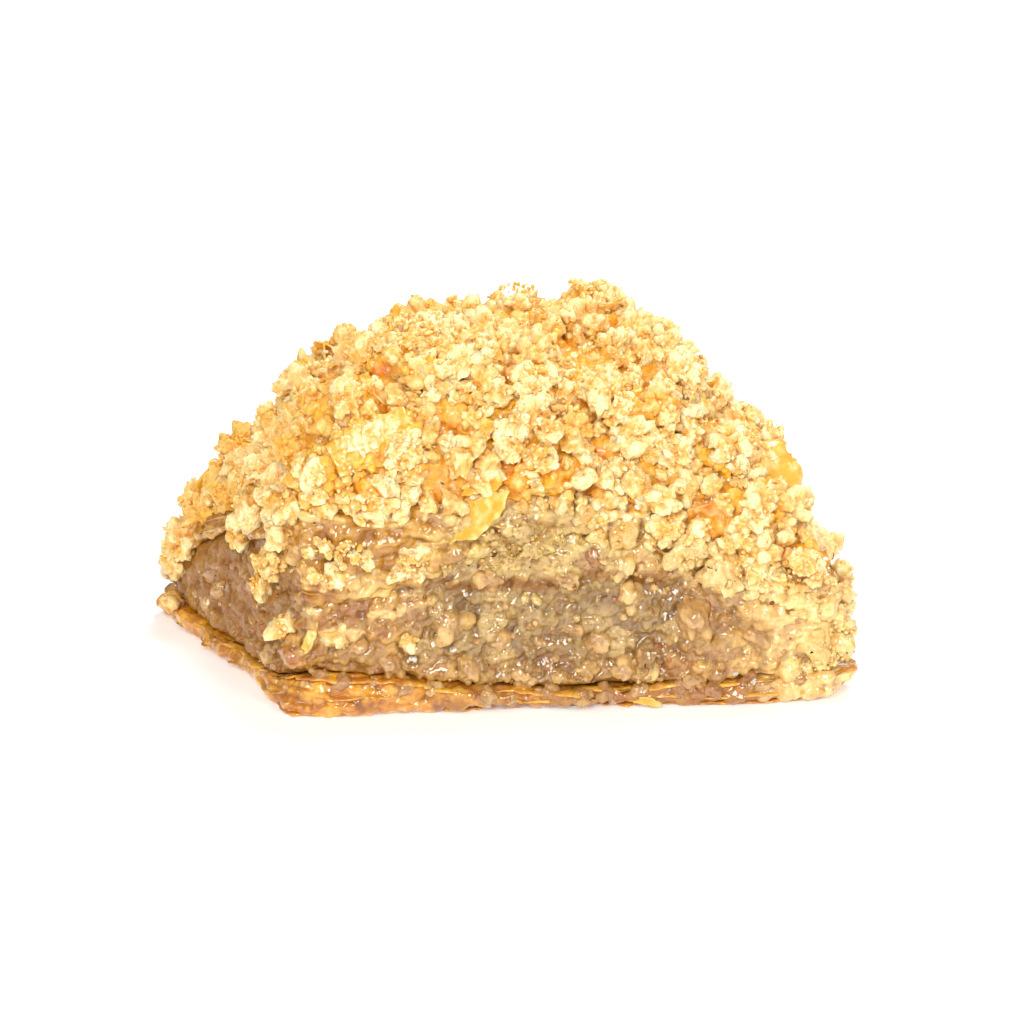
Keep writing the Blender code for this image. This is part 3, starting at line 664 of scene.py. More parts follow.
def spaced(points, radii, taken_points, taken_radii, closeness):
    """Which points keep their distance from those taken and from each other, in order."""
    held = np.concatenate((taken_points, np.zeros_like(points)))
    sizes = np.concatenate((taken_radii, np.zeros(len(points))))
    filled = len(taken_points)
    kept = []
    for i, (point, radius) in enumerate(zip(points, radii)):
        away = np.linalg.norm(held[:filled] - point, axis=1)
        if np.all(away > closeness * (sizes[:filled] + radius)):
            held[filled], sizes[filled] = point, radius
            filled += 1
            kept.append(i)
    return np.array(kept, dtype=int)


def srgb(red, green, blue):
    """A colour as a picture program names it, in the linear values that Blender takes."""
    linear = []
    for value in (red, green, blue):
        value /= 255
        linear.append(value / 12.92 if value < 0.04045 else ((value + 0.055) / 1.055) ** 2.4)
    return (*linear, 1.0)


class Look:
    """A material and short ways to add nodes to it."""

    def __init__(self, name):
        self.material = bpy.data.materials.new(name)
        self.material.use_nodes = True
        self.nodes = self.material.node_tree.nodes
        self.links = self.material.node_tree.links
        self.shader = self.nodes["Principled BSDF"]
        self.place = self.nodes.new("ShaderNodeTexCoord").outputs["Object"]
        self.colour = None

    def put(self, socket, value):
        if isinstance(value, bpy.types.NodeSocket):
            self.links.new(value, socket)
        else:
            socket.default_value = value

    def set(self, **values):
        for name, value in values.items():
            self.put(self.shader.inputs[name.replace("_", " ")], value)

    def value(self, name):
        node = self.nodes.new("ShaderNodeAttribute")
        node.attribute_name = name
        return node.outputs["Fac"]

    def noise(self, grain, detail=2.0, low=0.35, high=0.65):
        """Noise with a grain in mm, stretched to run from 0 to 1."""
        node = self.nodes.new("ShaderNodeTexNoise")
        self.links.new(self.place, node.inputs["Vector"])
        node.inputs["Scale"].default_value = TO_MM / grain
        node.inputs["Detail"].default_value = detail
        return self.between(node.outputs["Fac"], low, high)

    def cells(self, grain):
        """Distance to the nearest of scattered points, for grains of a size in mm."""
        node = self.nodes.new("ShaderNodeTexVoronoi")
        self.links.new(self.place, node.inputs["Vector"])
        node.inputs["Scale"].default_value = TO_MM / grain
        return node.outputs["Distance"]

    def between(self, value, low, high, to_low=0.0, to_high=1.0):
        node = self.nodes.new("ShaderNodeMapRange")
        self.put(node.inputs["Value"], value)
        node.inputs["From Min"].default_value = low
        node.inputs["From Max"].default_value = high
        node.inputs["To Min"].default_value = to_low
        node.inputs["To Max"].default_value = to_high
        return node.outputs["Result"]

    def math(self, operation, a, b):
        node = self.nodes.new("ShaderNodeMath")
        node.operation = operation
        self.put(node.inputs[0], a)
        self.put(node.inputs[1], b)
        return node.outputs["Value"]

    def mix(self, share, a, b):
        """A colour between two, which are sockets or given as a picture program names them."""
        node = self.nodes.new("ShaderNodeMix")
        node.data_type = "RGBA"
        self.put(node.inputs["Factor"], share)
        for name, colour in (("A", a), ("B", b)):
            self.put(node.inputs[name], srgb(*colour) if isinstance(colour, tuple) else colour)
        return node.outputs["Result"]

    def paint(self, share, colour, strength=1.0):
        """Lays a colour over what is painted so far, by a share from 0 to 1."""
        if strength < 1.0:
            share = self.math("MULTIPLY", share, strength)
        self.colour = self.mix(share, self.colour, colour)

    def bump(self, layers):
        """A node for fine relief, from pairs of a height and its depth in mm."""
        total = None
        for height, depth in layers:
            part = self.math("MULTIPLY", height, depth * MM)
            total = part if total is None else self.math("ADD", total, part)
        node = self.nodes.new("ShaderNodeBump")
        node.inputs["Strength"].default_value = 1.0
        node.inputs["Distance"].default_value = 1.0
        self.links.new(total, node.inputs["Height"])
        return node

    def relief(self, *layers):
        self.set(Normal=self.bump(layers).outputs["Normal"])

    def syrup(self, weight, *layers, roughness=SYRUP_ROUGHNESS):
        """A clear coat over the smooth normals of the syrup film, with waves of its own."""
        film = self.nodes.new("ShaderNodeAttribute")
        film.attribute_name = "film"
        turn = self.nodes.new("ShaderNodeVectorTransform")
        turn.vector_type = "NORMAL"
        turn.convert_from = "OBJECT"
        turn.convert_to = "WORLD"
        self.links.new(film.outputs["Vector"], turn.inputs["Vector"])
        ripples = self.bump(layers)
        self.links.new(turn.outputs["Vector"], ripples.inputs["Normal"])
        self.set(Coat_Weight=weight, Coat_Roughness=roughness, Coat_IOR=SYRUP_IOR)
        self.set(Coat_Normal=ripples.outputs["Normal"])


def translucent(look, weight, reach):
    """Light goes a little way into the food, red furthest."""
    look.set(Subsurface_Weight=weight, Subsurface_Scale=reach * MM)
    look.shader.inputs["Subsurface Radius"].default_value = (1.0, 0.8, 0.45)


def soaked_colour(look):
    """Where syrup has soaked the nuts: tan and olive in the middle, golden towards the right."""
    tan = look.mix(look.noise(1.3, 3.0), (174, 138, 74), (220, 190, 112))
    tan = look.mix(look.noise(0.8, 2.0, 0.58, 0.7), tan, (150, 98, 50))
    golden = look.mix(look.noise(1.3, 3.0), (222, 174, 96), (246, 216, 146))
    split = look.nodes.new("ShaderNodeSeparateXYZ")
    look.links.new(look.place, split.inputs["Vector"])
    return look.mix(look.between(split.outputs["X"], 8 * MM, 20 * MM), tan, golden)


def crumb_look():
    """Pale granular crumbs with painted shade, golden in their creases and between their fine
    grains, and soaked and glossy where they are wet.
    """
    look = Look("pale_crumb")
    tone = look.math("ADD", look.value("tone"), look.noise(1.1, 3.0, 0.2, 0.8))
    look.colour = look.mix(look.between(tone, 0.35, 1.35), (228, 172, 68), (255, 240, 192))
    grain = look.cells(0.3)
    # painted shade: golden between the fine grains, along the creases of the bump
    grain_crease_shade = look.math("MULTIPLY", look.between(grain, 0.4, 0.7), look.noise(0.9, 2.0, 0.3, 0.7))
    look.paint(grain_crease_shade, (240, 188, 82))
    # painted shade: golden where a vertex lies deep in the crumb's creases
    look.paint(look.between(look.value("deep"), 0.3, 0.9, 0.0, 0.9), (236, 166, 48))
    look.paint(look.noise(1.9, 2.0, 0.58, 0.7), (236, 172, 68), 0.6)
    look.paint(look.noise(0.32, 1.0, 0.7, 0.76), (166, 100, 40), 0.7)
    wet = look.value("wet")
    look.paint(wet, soaked_colour(look), 0.9)
    look.set(Base_Color=look.colour, Roughness=0.5)
    look.relief((grain, -0.09), (look.cells(0.17), -0.03))
    glaze = look.math("MAXIMUM", look.math("MULTIPLY", look.noise(1.6), 0.3), wet)
    look.syrup(glaze, (look.noise(1.0, 0.0), 0.14), roughness=0.05)
    translucent(look, 0.5, 0.6)
    return look.material


def core_look():
    """The syrupy surface that shows in the gaps between the crumbs."""
    look = Look("topping_core")
    look.colour = look.mix(look.noise(3.2, 3.0), (228, 152, 26), (238, 180, 56))
    look.paint(look.noise(1.1, 3.0, 0.5, 0.75), (246, 214, 130))
    look.paint(look.noise(2.4, 2.0, 0.6, 0.72), (214, 124, 22))
    # painted shade: deeper amber in the creases of the grains
    look.paint(look.between(look.value("deep"), 0.45, 1.0, 0.0, 0.8), (216, 140, 28))
    look.set(Base_Color=look.colour, Roughness=0.42)
    look.relief((look.cells(0.5), -0.06), (look.noise(0.9), 0.06))
    look.syrup(look.noise(1.4), (look.noise(0.9), 0.08), roughness=0.05)
    translucent(look, 0.5, 1.0)
    return look.material


def filling_look():
    """Ground nuts in syrup: brown paste, amber at the corners, pale strata, painted shade and
    shadow.
    """
    look = Look("nut_filling")
    look.colour = look.mix(look.noise(2.2, 3.0), (126, 94, 44), (168, 134, 70))
    look.paint(look.between(look.value("tone"), 0.55, 0.95), (192, 160, 98))
    look.paint(look.noise(0.9, 2.0, 0.6, 0.68), (128, 80, 34), 0.7)
    amber = look.mix(look.noise(1.3, 3.0), (156, 98, 30), (206, 156, 68))
    amber = look.mix(look.noise(1.7, 2.0, 0.56, 0.68), amber, (164, 88, 20))
    # amber at the corners and foot, which on the left face is painted shade
    look.paint(look.value("amber_and_left_shade"), amber)
    look.paint(look.value("wet"), soaked_colour(look))
    look.paint(look.value("dry"), (232, 196, 126))
    # painted shade on the left side, and painted shadow under the ledge of the front
    look.paint(look.value("shade"), (140, 88, 24))
    # painted shade: browner in the creases of the grains
    look.paint(look.between(look.value("deep"), 0.45, 1.0, 0.0, 0.55), (126, 76, 34))
    look.set(Base_Color=look.colour, Roughness=0.4)
    look.relief((look.cells(0.34), -0.07), (look.noise(0.8), 0.06))
    weight = look.between(look.value("shade"), 0.0, 0.6, 1.0, 0.25)
    look.syrup(weight, (look.noise(1.3, 0.0), 0.2))
    translucent(look, 0.4, 0.7)
    return look.material


def nut_look():
    """Nut pieces under syrup, from brown skin to pale olive."""
    look = Look("glossy_nut")
    look.colour = look.mix(look.value("tone"), (146, 80, 36), (226, 190, 118))
    look.paint(look.noise(0.8, 2.0, 0.55, 0.7), (180, 124, 58))
    # painted shade: browner where a vertex lies deep in the creases
    look.paint(look.between(look.value("deep"), 0.4, 0.95, 0.0, 0.6), (150, 98, 44))
    look.set(Base_Color=look.colour, Roughness=0.35)
    look.relief((look.cells(0.5), -0.05), (look.noise(0.7), 0.04))
    look.syrup(1.0, (look.noise(1.2, 0.0), 0.18))
    translucent(look, 0.4, 0.7)
    return look.material


def pastry_look(name, colours, coat):
    """Baked sheets: painted shade in the grooves, paler along the edges, with syrup on them."""
    patches, between, edges, brown = colours
    look = Look(name)
    look.colour = look.mix(look.noise(1.6, 3.0), patches, between)
    look.paint(look.between(look.value("tone"), 0.5, 1.0), edges, 0.7)
    look.paint(look.noise(1.0, 3.0, 0.56, 0.72), edges)
    look.paint(look.noise(1.9, 2.0, 0.58, 0.74), brown)
    crumbly = look.mix(look.noise(1.0, 3.0), (232, 192, 116), (248, 230, 176))
    crumbly = look.mix(look.value("wet"), crumbly, soaked_colour(look))
    look.paint(look.value("soft"), crumbly)
    # painted shade: browned where the grooves between the sheets lie deep
    look.paint(look.between(look.value("deep"), 0.5, 1.0, 0.0, 0.65), brown)
    look.paint(look.value("glaze"), (148, 90, 28))
    look.set(Base_Color=look.colour, Roughness=0.38)
    look.relief((look.noise(0.6, 2.0), 0.06), (look.cells(0.45), -0.04))
    weight = look.between(look.noise(1.8), 0.0, 1.0, coat, 1.0)
    look.syrup(weight, (look.noise(1.4, 0.0), 0.2))
    translucent(look, 0.3, 0.6)
    return look.material


def flake_look():
    """Thin baked sheets, from deep orange to pale yellow."""
    look = Look("pastry_flake")
    look.colour = look.mix(look.value("tone"), (204, 114, 22), (240, 192, 74))
    look.paint(look.noise(1.6, 3.0, 0.46, 0.66), (232, 166, 44))
    look.paint(look.noise(1.1, 3.0, 0.48, 0.72), (246, 218, 150))
    look.set(Base_Color=look.colour, Roughness=0.3)
    look.relief((look.noise(0.9), 0.06), (look.cells(0.9), -0.05))
    look.syrup(0.5, (look.noise(1.6, 1.0), 0.2), roughness=0.08)
    translucent(look, 0.4, 0.6)
    return look.material


def sugar_look():
    look = Look("sugar")
    look.set(Base_Color=srgb(252, 244, 226), Roughness=0.15, IOR=1.5, Transmission_Weight=0.3)
    translucent(look, 0.4, 0.5)
    return look.material


def speck_look():
    look = Look("nut_skin_speck")
    look.colour = look.mix(look.value("tone"), (92, 50, 26), (186, 112, 48))
    look.set(Base_Color=look.colour, Roughness=look.noise(0.5, 2.0, 0.0, 1.2))
    return look.material


def put_relief(verts, faces, opened, packing):
    """Packed grains pushed out of a skin, coarse to fine, and how deep each vertex lies."""
    height = np.zeros(len(verts))
    numbers = []
    for i, (size, depth) in enumerate(packing):
        normals = vertex_normals(verts, faces)
        bump, number = grains(verts, size, SEED + i)
        verts = verts + normals * (depth * opened * (bump - 0.55))[:, None]
        height += depth * bump
        numbers.append(number)
    return verts, 1 - height / sum(depth for _, depth in packing), numbers[0]


def kept_in_box(verts):
    return np.clip(verts, BOX_LOW, BOX_HIGH)


class Layers:
    """The skins of the four solids, with what lies open and where things can be put."""

    def __init__(self):
        self.solids = {name: mesh_arrays(node.data) for name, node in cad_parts.items()}
        self.solid_trees = {name: tree_of(*arrays) for name, arrays in self.solids.items()}
        self.skins = {}
        self.trees = {}

    def start(self, node):
        """The node's skin, finer where it is open and finest where it faces the photo's view."""
        verts, faces = skin_of(node)
        normals = vertex_normals(verts, faces)
        others = [tree for name, tree in self.solid_trees.items() if name != node]
        opened = open_share(verts, normals, others)
        facing = facing_view(verts, normals)
        verts = np.column_stack((verts + SKIN_LIFT * normals, opened, facing))
        verts, faces = refined(verts, faces, verts[faces, 3].mean(axis=1) > 0.3)
        if node != "nut_topping":
            seen = (verts[faces, 3] * verts[faces, 4]).mean(axis=1) > 0.3
            verts, faces = refined(verts, faces, seen)
        verts = smoothed(verts, faces, SKIN_ROUNDS)
        return verts[:, :3], faces, verts[:, 3]

    def keep(self, node, verts, faces, opened):
        self.skins[node] = (verts, faces, opened)
        self.trees[node] = tree_of(verts, faces)

    def wall(self, angle, height):
        """The outermost point of the solids at an angle round the middle and a height."""
        out = np.array((math.cos(angle), math.sin(angle), 0.0))
        best = None
        for lower in (0.0, 0.3, 0.6):
            start = Vector(OUTSIDE * out + (0.0, 0.0, height - lower))
            for tree in self.solid_trees.values():
                hit, _, _, away = tree.ray_cast(start, Vector(-out))
                if hit is not None and (best is None or away < best[1]):
                    best = (np.array(hit), away)
        return best[0]

    def band(self, node):
        """Lowest and highest open height of a layer at each of evenly spaced angles."""
        verts, _, opened = self.skins[node]
        shown = verts[opened > 0.6]
        turn = (np.arctan2(shown[:, 1], shown[:, 0]) / (2 * math.pi)) % 1
        slot = (turn * BAND_SLOTS).astype(int)
        slots = range(BAND_SLOTS)
        lows = np.array([shown[slot == i, 2].min(initial=99) for i in slots])
        highs = np.array([shown[slot == i, 2].max(initial=-99) for i in slots])
        for _ in range(2):
            lows = (np.roll(lows, 1) + 2 * lows + np.roll(lows, -1)) / 4
            highs = (np.roll(highs, 1) + 2 * highs + np.roll(highs, -1)) / 4
        return lows, highs


def around(table, angles):
    """A value at any angle from a table of values at evenly spaced angles."""
    place = (np.asarray(angles) / (2 * math.pi)) % 1 * len(table)
    low = np.floor(place).astype(int) % len(table)
    part = place - np.floor(place)
    return table[low] * (1 - part) + table[(low + 1) % len(table)] * part


def sheets_relief(verts, faces, opened, soft, upper, pitch, depth):
    """Stacked sheet edges on a pastry layer, each standing out by its own uneven reach."""
    normals = vertex_normals(verts, faces)
    angles = np.arctan2(verts[:, 1], verts[:, 0])
    wave = waves(verts, (0.7, 4.5, 21), (0.45, 1.6, 22))
    count = (around(upper, angles) - verts[:, 2]) / pitch + wave
    layer = np.floor(count)
    part = count - layer
    along = np.stack((verts[:, 0], verts[:, 1], 31.7 * layer), axis=1)
    reach = waves(along, (0.7, 2.6, 23), (0.4, 0.9, 24), start=0.5)
    edge = np.clip(1 - np.abs(2 * part - 1) ** 3, 0, 1) * np.clip(reach, 0, 1.2)
    crumble, _ = grains(verts, 0.7, 25)
    lumps, _ = grains(verts, 1.5, 27)
    soft = soft * opened
    height = (0.5 * edge + 0.75 * lumps + 0.2 * crumble) * (1 - soft)
    height += soft * (0.9 * lumps + 0.4 * crumble)
    verts = verts + normals * (depth * opened * (height - 0.5))[:, None]
    tone = np.clip(0.35 + 0.5 * smooth_noise(along, 2.6, 26) + 0.25 * edge, 0, 1)
    deep = (1 - 0.5 * edge - 0.6 * lumps) * (1 - soft) + soft * (1 - 0.6 * lumps - 0.4 * crumble)
    return verts, np.clip(deep, 0, 1), tone


def pastry_skin(layers, node, name, material, sheets):
    """The skin of a pastry layer, with the edges of its sheets in relief."""
    on_top = node == "top_pastry"
    verts, faces, opened = layers.start(node)
    layers.keep(node, verts, faces, opened)
    _, upper = layers.band(node)
    soft = softness(verts) if on_top else base_corner(verts)
    verts, deep, tone = sheets_relief(verts, faces, opened, soft, upper, *sheets)
    verts = kept_in_box(smoothed(verts, faces, SKIN_ROUNDS))
    layers.keep(node, verts, faces, opened)
    values = {"deep": deep, "tone": tone, "soft": soft, "wet": wetness(verts)}
    values["glaze"] = np.zeros(len(verts)) if on_top else middle_glaze(verts)
    values["film"] = film_normals(verts, faces)
    make_piece(name, material, node, verts, faces, values, [node])


def base_corner(points):
    """1 at the near right corner of the base, which looks like the filling, and 0 elsewhere."""
    x = points[:, 0] + 1.5 * smooth_noise(points, 2.5, 37)
    return 0.85 * step(x, 20.0, 24.0) * (1 - step(points[:, 1], -8.0, -4.0))


def middle_glaze(points):
    """1 along the middle of the base's front, where the syrup is dark, and 0 elsewhere."""
    x = points[:, 0] + 1.5 * smooth_noise(points, 2.5, 35)
    patch = 0.75 + 0.5 * smooth_noise(points, 1.8, 36)
    front = 1 - step(points[:, 1], -11.0, -8.0)
    return np.clip(0.8 * step(x, -10.0, -4.0) * (1 - step(x, 21.0, 26.0)) * front * patch, 0, 1)


def corner_amber_and_left_shade(verts):
    """1 at the filling's amber corners and foot, and on its left face as painted shade; 0 between.
    """
    x = verts[:, 0] + 1.8 * smooth_noise(verts, 3.0, 31)
    z = verts[:, 2] + 1.2 * smooth_noise(verts, 2.2, 33)
    right = 0.85 * step(x, 11.0, 20.0)
    left = 0.9 * step(-x, 5.0, 12.0) * (1 - step(verts[:, 1], -13.0, -10.0))
    # painted shade: amber over the left face, behind its front corner
    far = step(-x, 14.0, 20.0) * step(verts[:, 1], -12.0, -6.0)
    foot = 0.6 * (1 - step(z, 3.0, 6.5))
    patch = 0.75 + 0.5 * smooth_noise(verts, 2.4, 32)
    return np.clip((np.maximum(np.maximum(right, left), far) + foot) * patch, 0, 0.9)


def shade(points):
    """How much painted shade lies on the filling's left side, and painted shadow under its front's
    ledge.
    """
    left = 0.6 * step(-points[:, 0], 16.5, 19.5) * step(points[:, 1], -14.0, -11.5)
    away = np.abs(points[:, 2] - 12.4 + 0.9 * smooth_noise(points, 2.4, 43))
    front = step(points[:, 0], -8.0, -4.0) * (1 - step(points[:, 0], 13.0, 17.0))
    under = 0.8 * (1 - step(away, 0.2, 1.1)) * front * (1 - step(points[:, 1], -11.0, -8.0))
    return np.maximum(left, under)


def filling_skin(layers, material):
    """The skin of the filling, with where it is amber, soaked, pale and shaded."""
    verts, faces, opened = layers.start("nut_filling")
    verts, deep, tone = put_relief(verts, faces, opened, FILLING_GRAINS)
    verts = smoothed(verts, faces, SKIN_ROUNDS)
    height = waves(verts, (1.4, 3.0, 41), (0.6, 1.1, 42), start=verts[:, 2])
    wet = np.maximum(wetness(verts) * step(height, 11.5, 13.5), 0.9 * corner_beige(verts))
    dry = 0.75 * step(height, 12.0, 15.0) * (1 - wet)
    left_front = step(-verts[:, 0], 6.0, 11.0) * (1 - step(verts[:, 1], -13.0, -10.0))
    strata = smooth_noise(verts * (0.5, 0.5, 2.0), 1.8, 44) + 0.4 * (tone - 0.5)
    pale = 0.9 * left_front * step(height, 6.5, 8.0) * step(strata, -0.05, 0.35)
    verts = kept_in_box(verts)
    layers.keep("nut_filling", verts, faces, opened)
    values = {"deep": deep, "tone": tone, "dry": np.maximum(dry, pale), "wet": wet}
    values["amber_and_left_shade"] = corner_amber_and_left_shade(verts)
    values["shade"] = shade(verts)
    values["film"] = film_normals(verts, faces)
    make_piece("filling", material, "nut_filling", verts, faces, values, ["nut_filling"])


def topping_skin(layers, material):
    """The surface under the crumbs, which shows between them."""
    verts, faces, opened = layers.start("nut_topping")
    verts, deep, tone = put_relief(verts, faces, opened, TOPPING_GRAINS)
    verts = kept_in_box(verts)
    layers.keep("nut_topping", verts, faces, opened)
    values = {"deep": deep, "tone": tone, "film": film_normals(verts, faces)}
    make_piece("topping_core", material, "nut_topping", verts, faces, values, ["nut_topping"])


def join(*surfaces):
    """Several surfaces as one, each given as its vertices, triangles and a value by vertex."""
    starts = np.cumsum([0] + [len(surface[0]) for surface in surfaces[:-1]])
    return (
        np.concatenate([surface[0] for surface in surfaces]),
        np.concatenate([surface[1] + start for surface, start in zip(surfaces, starts)]),
        np.concatenate([surface[2] for surface in surfaces]),
    )


def wetness(points):
    """1 on the lower front of the topping, where syrup has soaked it, and 0 elsewhere."""
    height = waves(points, (1.6, 3.2, 91), (0.7, 1.2, 92), start=points[:, 2])
    top = 20.5 - 0.35 * np.maximum(points[:, 0] - 5.0, 0)
    front = (1 - step(points[:, 1], -9.0, -5.0)) * step(points[:, 0], -9.0, -5.0)
    return np.maximum((1 - step(height, top - 3.5, top)) * front, 0.8 * corner_beige(points))


def corner_beige(points):
    """1 at the near right corner, where the soaked crumbs are golden beige, and 0 elsewhere."""
    place = points[:, 0] + 1.5 * smooth_noise(points, 2.6, 93)
    return step(place, 19.0, 24.0) * (1 - step(points[:, 2], 9.0, 13.0))


def softness(verts):
    """1 on the front right of the top pastry, where it is soaked and crumbled, and 0 elsewhere."""
    ragged = verts[:, 0] + 2.0 * smooth_noise(verts, 4.0, 81)
    return step(ragged, -7.0, -3.0) * (1 - step(verts[:, 1], -6.0, 2.0))


def soft_front(layers):
    """The top pastry with the share of it that crumbs may lie on."""
    verts, faces, opened = layers.skins["top_pastry"]
    return verts, faces, opened * softness(verts)


def clear_places(layers):
    """Amber gaps and places along the sheets that show, which no scattered crumb may cover."""
    spots = list(AMBER_GAPS)
    for x1, y1, x2, y2, width, *_ in PHOTO_FLAKES:
        for share in (0.1, 0.3, 0.5, 0.7, 0.9):
            spots.append((x1 + share * (x2 - x1), y1 + share * (y2 - y1), 0.4 * width))
    points, radii = [], []
    for across, down, radius in spots:
        found = under_pixel(across, down, layers.trees.values())
        if found:
            points.append(found[0])
            radii.append(radius)
    return np.array(points), np.array(radii)


def photo_places(layers, table, lift):
    """Centres, radii and tones of pieces placed by pixels, lifted by a share of their radius."""
    centres, radii, tones = [], [], []
    for across, down, diameter, *tone in table:
        found = under_pixel(across, down, layers.trees.values())
        if found is None:
            continue
        place, normal = found
        centres.append(place + normal * diameter / 2 * lift)
        radii.append(diameter / 2)
        tones.append(tone[0] if tone else 0.5)
    return np.array(centres), np.array(radii), np.array(tones)


def granules(rng, centres, radii, tones, count, small, large):
    """Centres, radii and tones of small crumbs that sit on larger ones."""
    hosts = np.nonzero(radii > HOST_RADIUS)[0]
    host = rng.choice(hosts, count, p=radii[hosts] ** 2 / np.sum(radii[hosts] ** 2))
    outward = unit(centres[host] - HEAP_MIDDLE)
    aim = unit(unit(rng.normal(size=(count, 3))) + 0.7 * outward)
    sizes = rng.uniform(small, large, count)
    places = centres[host] + aim * (radii[host] * rng.uniform(0.8, 1.05, count))[:, None]
    return places, sizes, np.clip(tones[host] + rng.normal(0, 0.15, count), 0, 1)


def crumb_places(layers, rng, surface):
    """Centres, radii and tones of all crumbs: those of the photo, scattered ones and granules."""
    crumbs = photo_places(layers, MAIN_CRUMBS, lift=0.3)
    placed = len(crumbs[0])
    verts, faces, opened = surface
    gap = waves(verts, (1.0, 3.6, 51), (0.5, 1.7, 52))
    facing = facing_view(verts, vertex_normals(verts, faces))
    wanted = opened * (0.05 + 0.95 * step(gap, -0.4, 0.1))
    cleared = clear_places(layers)

    for count, small, large, most, closeness, front_share in CRUMB_ROUNDS:
        chance = wanted * (1 - (1 - front_share) * facing)
        points, normals = surface_points(rng, count, verts, faces, chance)
        sizes = np.sort(rng.uniform(small, large, count))[::-1]
        kept = spaced(points, sizes, *added(crumbs[:2], cleared), closeness)[:most]
        points, sizes, normals = points[kept], sizes[kept], normals[kept]
        x, y, _ = points.T
        # more golden towards the back; painted shade, darker and more golden, towards the left, and
        # painted light, paler, towards the right
        golden = 0.2 * step(y, -3.0, 5.0) + 0.45 * step(-x, 6.0, 15.0) - 0.25 * step(x, 0.0, 10.0)
        tone = 0.65 + 0.5 * smooth_noise(points, 5.0, 53) + rng.normal(0, 0.2, len(kept))
        places = points + 0.25 * sizes[:, None] * normals
        crumbs = added(crumbs, (places, sizes, np.clip(tone - golden, 0, 1)))

    for row in GRANULES:
        crumbs = added(crumbs, granules(rng, *crumbs, *row))
    kept = np.ones(len(crumbs[0]), dtype=bool)
    for place, reach in zip(*cleared):
        kept &= np.linalg.norm(crumbs[0] - place, axis=1) > reach
    kept[:placed] = True
    return [part[kept] for part in crumbs]


def crumb_pieces(layers, material):
    """Crumbs over the topping and the soft front of the pastry, joined for each size."""
    rng = np.random.default_rng(SEED)
    surface = join(layers.skins["nut_topping"], soft_front(layers))
    centres, radii, tones = crumb_places(layers, rng, surface)
    slope = slopes(centres, *surface[:2])
    order = np.argsort(-radii)
    start = 0
    for name, most, *shape in CRUMB_KINDS:
        shapes = [crumb_shape(rng, *shape) for _ in range(CRUMB_SHAPES)]
        chosen = order[start : start + most]
        start += most
        places, sizes = centres[chosen], radii[chosen]
        wet = wetness(places)
        sunk = places + 0.6 * (wet * sizes)[:, None] * FORWARD
        lie = 2.0 * wet[:, None] * slope[chosen]
        mesh = scattered(rng, shapes, sunk, sizes, lie, tone=tones[chosen], wet=wet)
        make_piece(name, material, "nut_topping", *mesh)


def nut_pieces(layers, material):
    """Nut pieces bedded in the filling, and fine grains over it."""
    rng = np.random.default_rng(SEED + 1)
    shapes = [crumb_shape(rng, *NUT_SHAPE) for _ in range(OTHER_SHAPES)]
    nuts = photo_places(layers, FRONT_NUTS, lift=-0.6)
    verts, faces, opened = layers.skins["nut_filling"]
    hidden = opened * step(verts[:, 1], -12.0, -9.0)
    tried, most, small, large = HIDDEN_NUTS
    points, normals = surface_points(rng, tried, verts, faces, hidden)
    sizes = rng.uniform(small, large, tried)
    kept = spaced(points, sizes, *nuts[:2], 0.9)[:most]
    places = points[kept] - 0.5 * sizes[kept, None] * normals[kept]
    tones = np.clip(rng.normal(0.65, 0.2, len(kept)), 0, 1)
    centres, radii, tones = added(nuts, (places, sizes[kept], tones))
    mesh = scattered(rng, shapes, centres, radii, tone=tones)
    make_piece("nut_pieces", material, "nut_filling", *mesh)

    shapes = [crumb_shape(rng, *GRIT_SHAPE) for _ in range(OTHER_SHAPES)]
    count, small, large = GRIT
    points, normals = surface_points(rng, count, verts, faces, opened)
    sizes = rng.uniform(small, large, count)
    tones = np.clip(rng.normal(0.5, 0.25, count), 0, 1)
    places = points - 0.2 * sizes[:, None] * normals
    mesh = scattered(rng, shapes, places, sizes, tone=tones)
    make_piece("filling_grit", material, "nut_filling", *mesh)


def sugar_pieces(layers, material):
    """Bright grains: a few shards together where the photo shows them, and single ones."""
    rng = np.random.default_rng(SEED + 2)
    shapes = [shard_shape(rng, *SUGAR_SHAPE) for _ in range(OTHER_SHAPES)]
    centres, radii, _ = photo_places(layers, SUGAR_GRAINS, lift=0.8)
    shards = SHARDS_IN_SUGAR_GRAIN * len(centres)
    centres = np.repeat(centres, SHARDS_IN_SUGAR_GRAIN, axis=0) + rng.normal(0, 0.2, (shards, 3))
    radii = np.repeat(radii, SHARDS_IN_SUGAR_GRAIN) * rng.uniform(0.22, 0.42, shards)
    verts, faces, opened = layers.skins["nut_topping"]
    count, small, large = LOOSE_SUGAR
    points, normals = surface_points(rng, count, verts, faces, opened)
    sizes = rng.uniform(small, large, count)
    centres, radii = added((centres, radii), (points + 0.9 * normals, sizes))
    mesh = scattered(rng, shapes, centres, radii, tone=rng.random(len(centres)))
    make_piece("sugar_grains", material, "nut_topping", *mesh)


def speck_pieces(layers, material):
    """Bits of brown nut skin on the topping, the filling and the top pastry."""
    rng = np.random.default_rng(SEED + 3)
    shapes = []
    for _ in range(OTHER_SHAPES):
        verts, faces, deep = shard_shape(rng, *SPECK_SHAPE)
        shapes.append((verts * SPECK_STRETCH, faces, deep))
    centres, sizes = [], []
    for node, count, most_lift in SPECKS:
        verts, faces, opened = layers.skins[node]
        points, normals = surface_points(rng, count, verts, faces, opened)
        lift = rng.uniform(0.0, most_lift, count)
        centres.append(points + lift[:, None] * normals)
        sizes.append(rng.uniform(*SPECK_RADII, count))
    centres, sizes = np.concatenate(centres), np.concatenate(sizes)
    mesh = scattered(rng, shapes, centres, sizes, tone=rng.random(len(centres)))
    make_piece("nut_skin_specks", material, "nut_topping", *mesh)


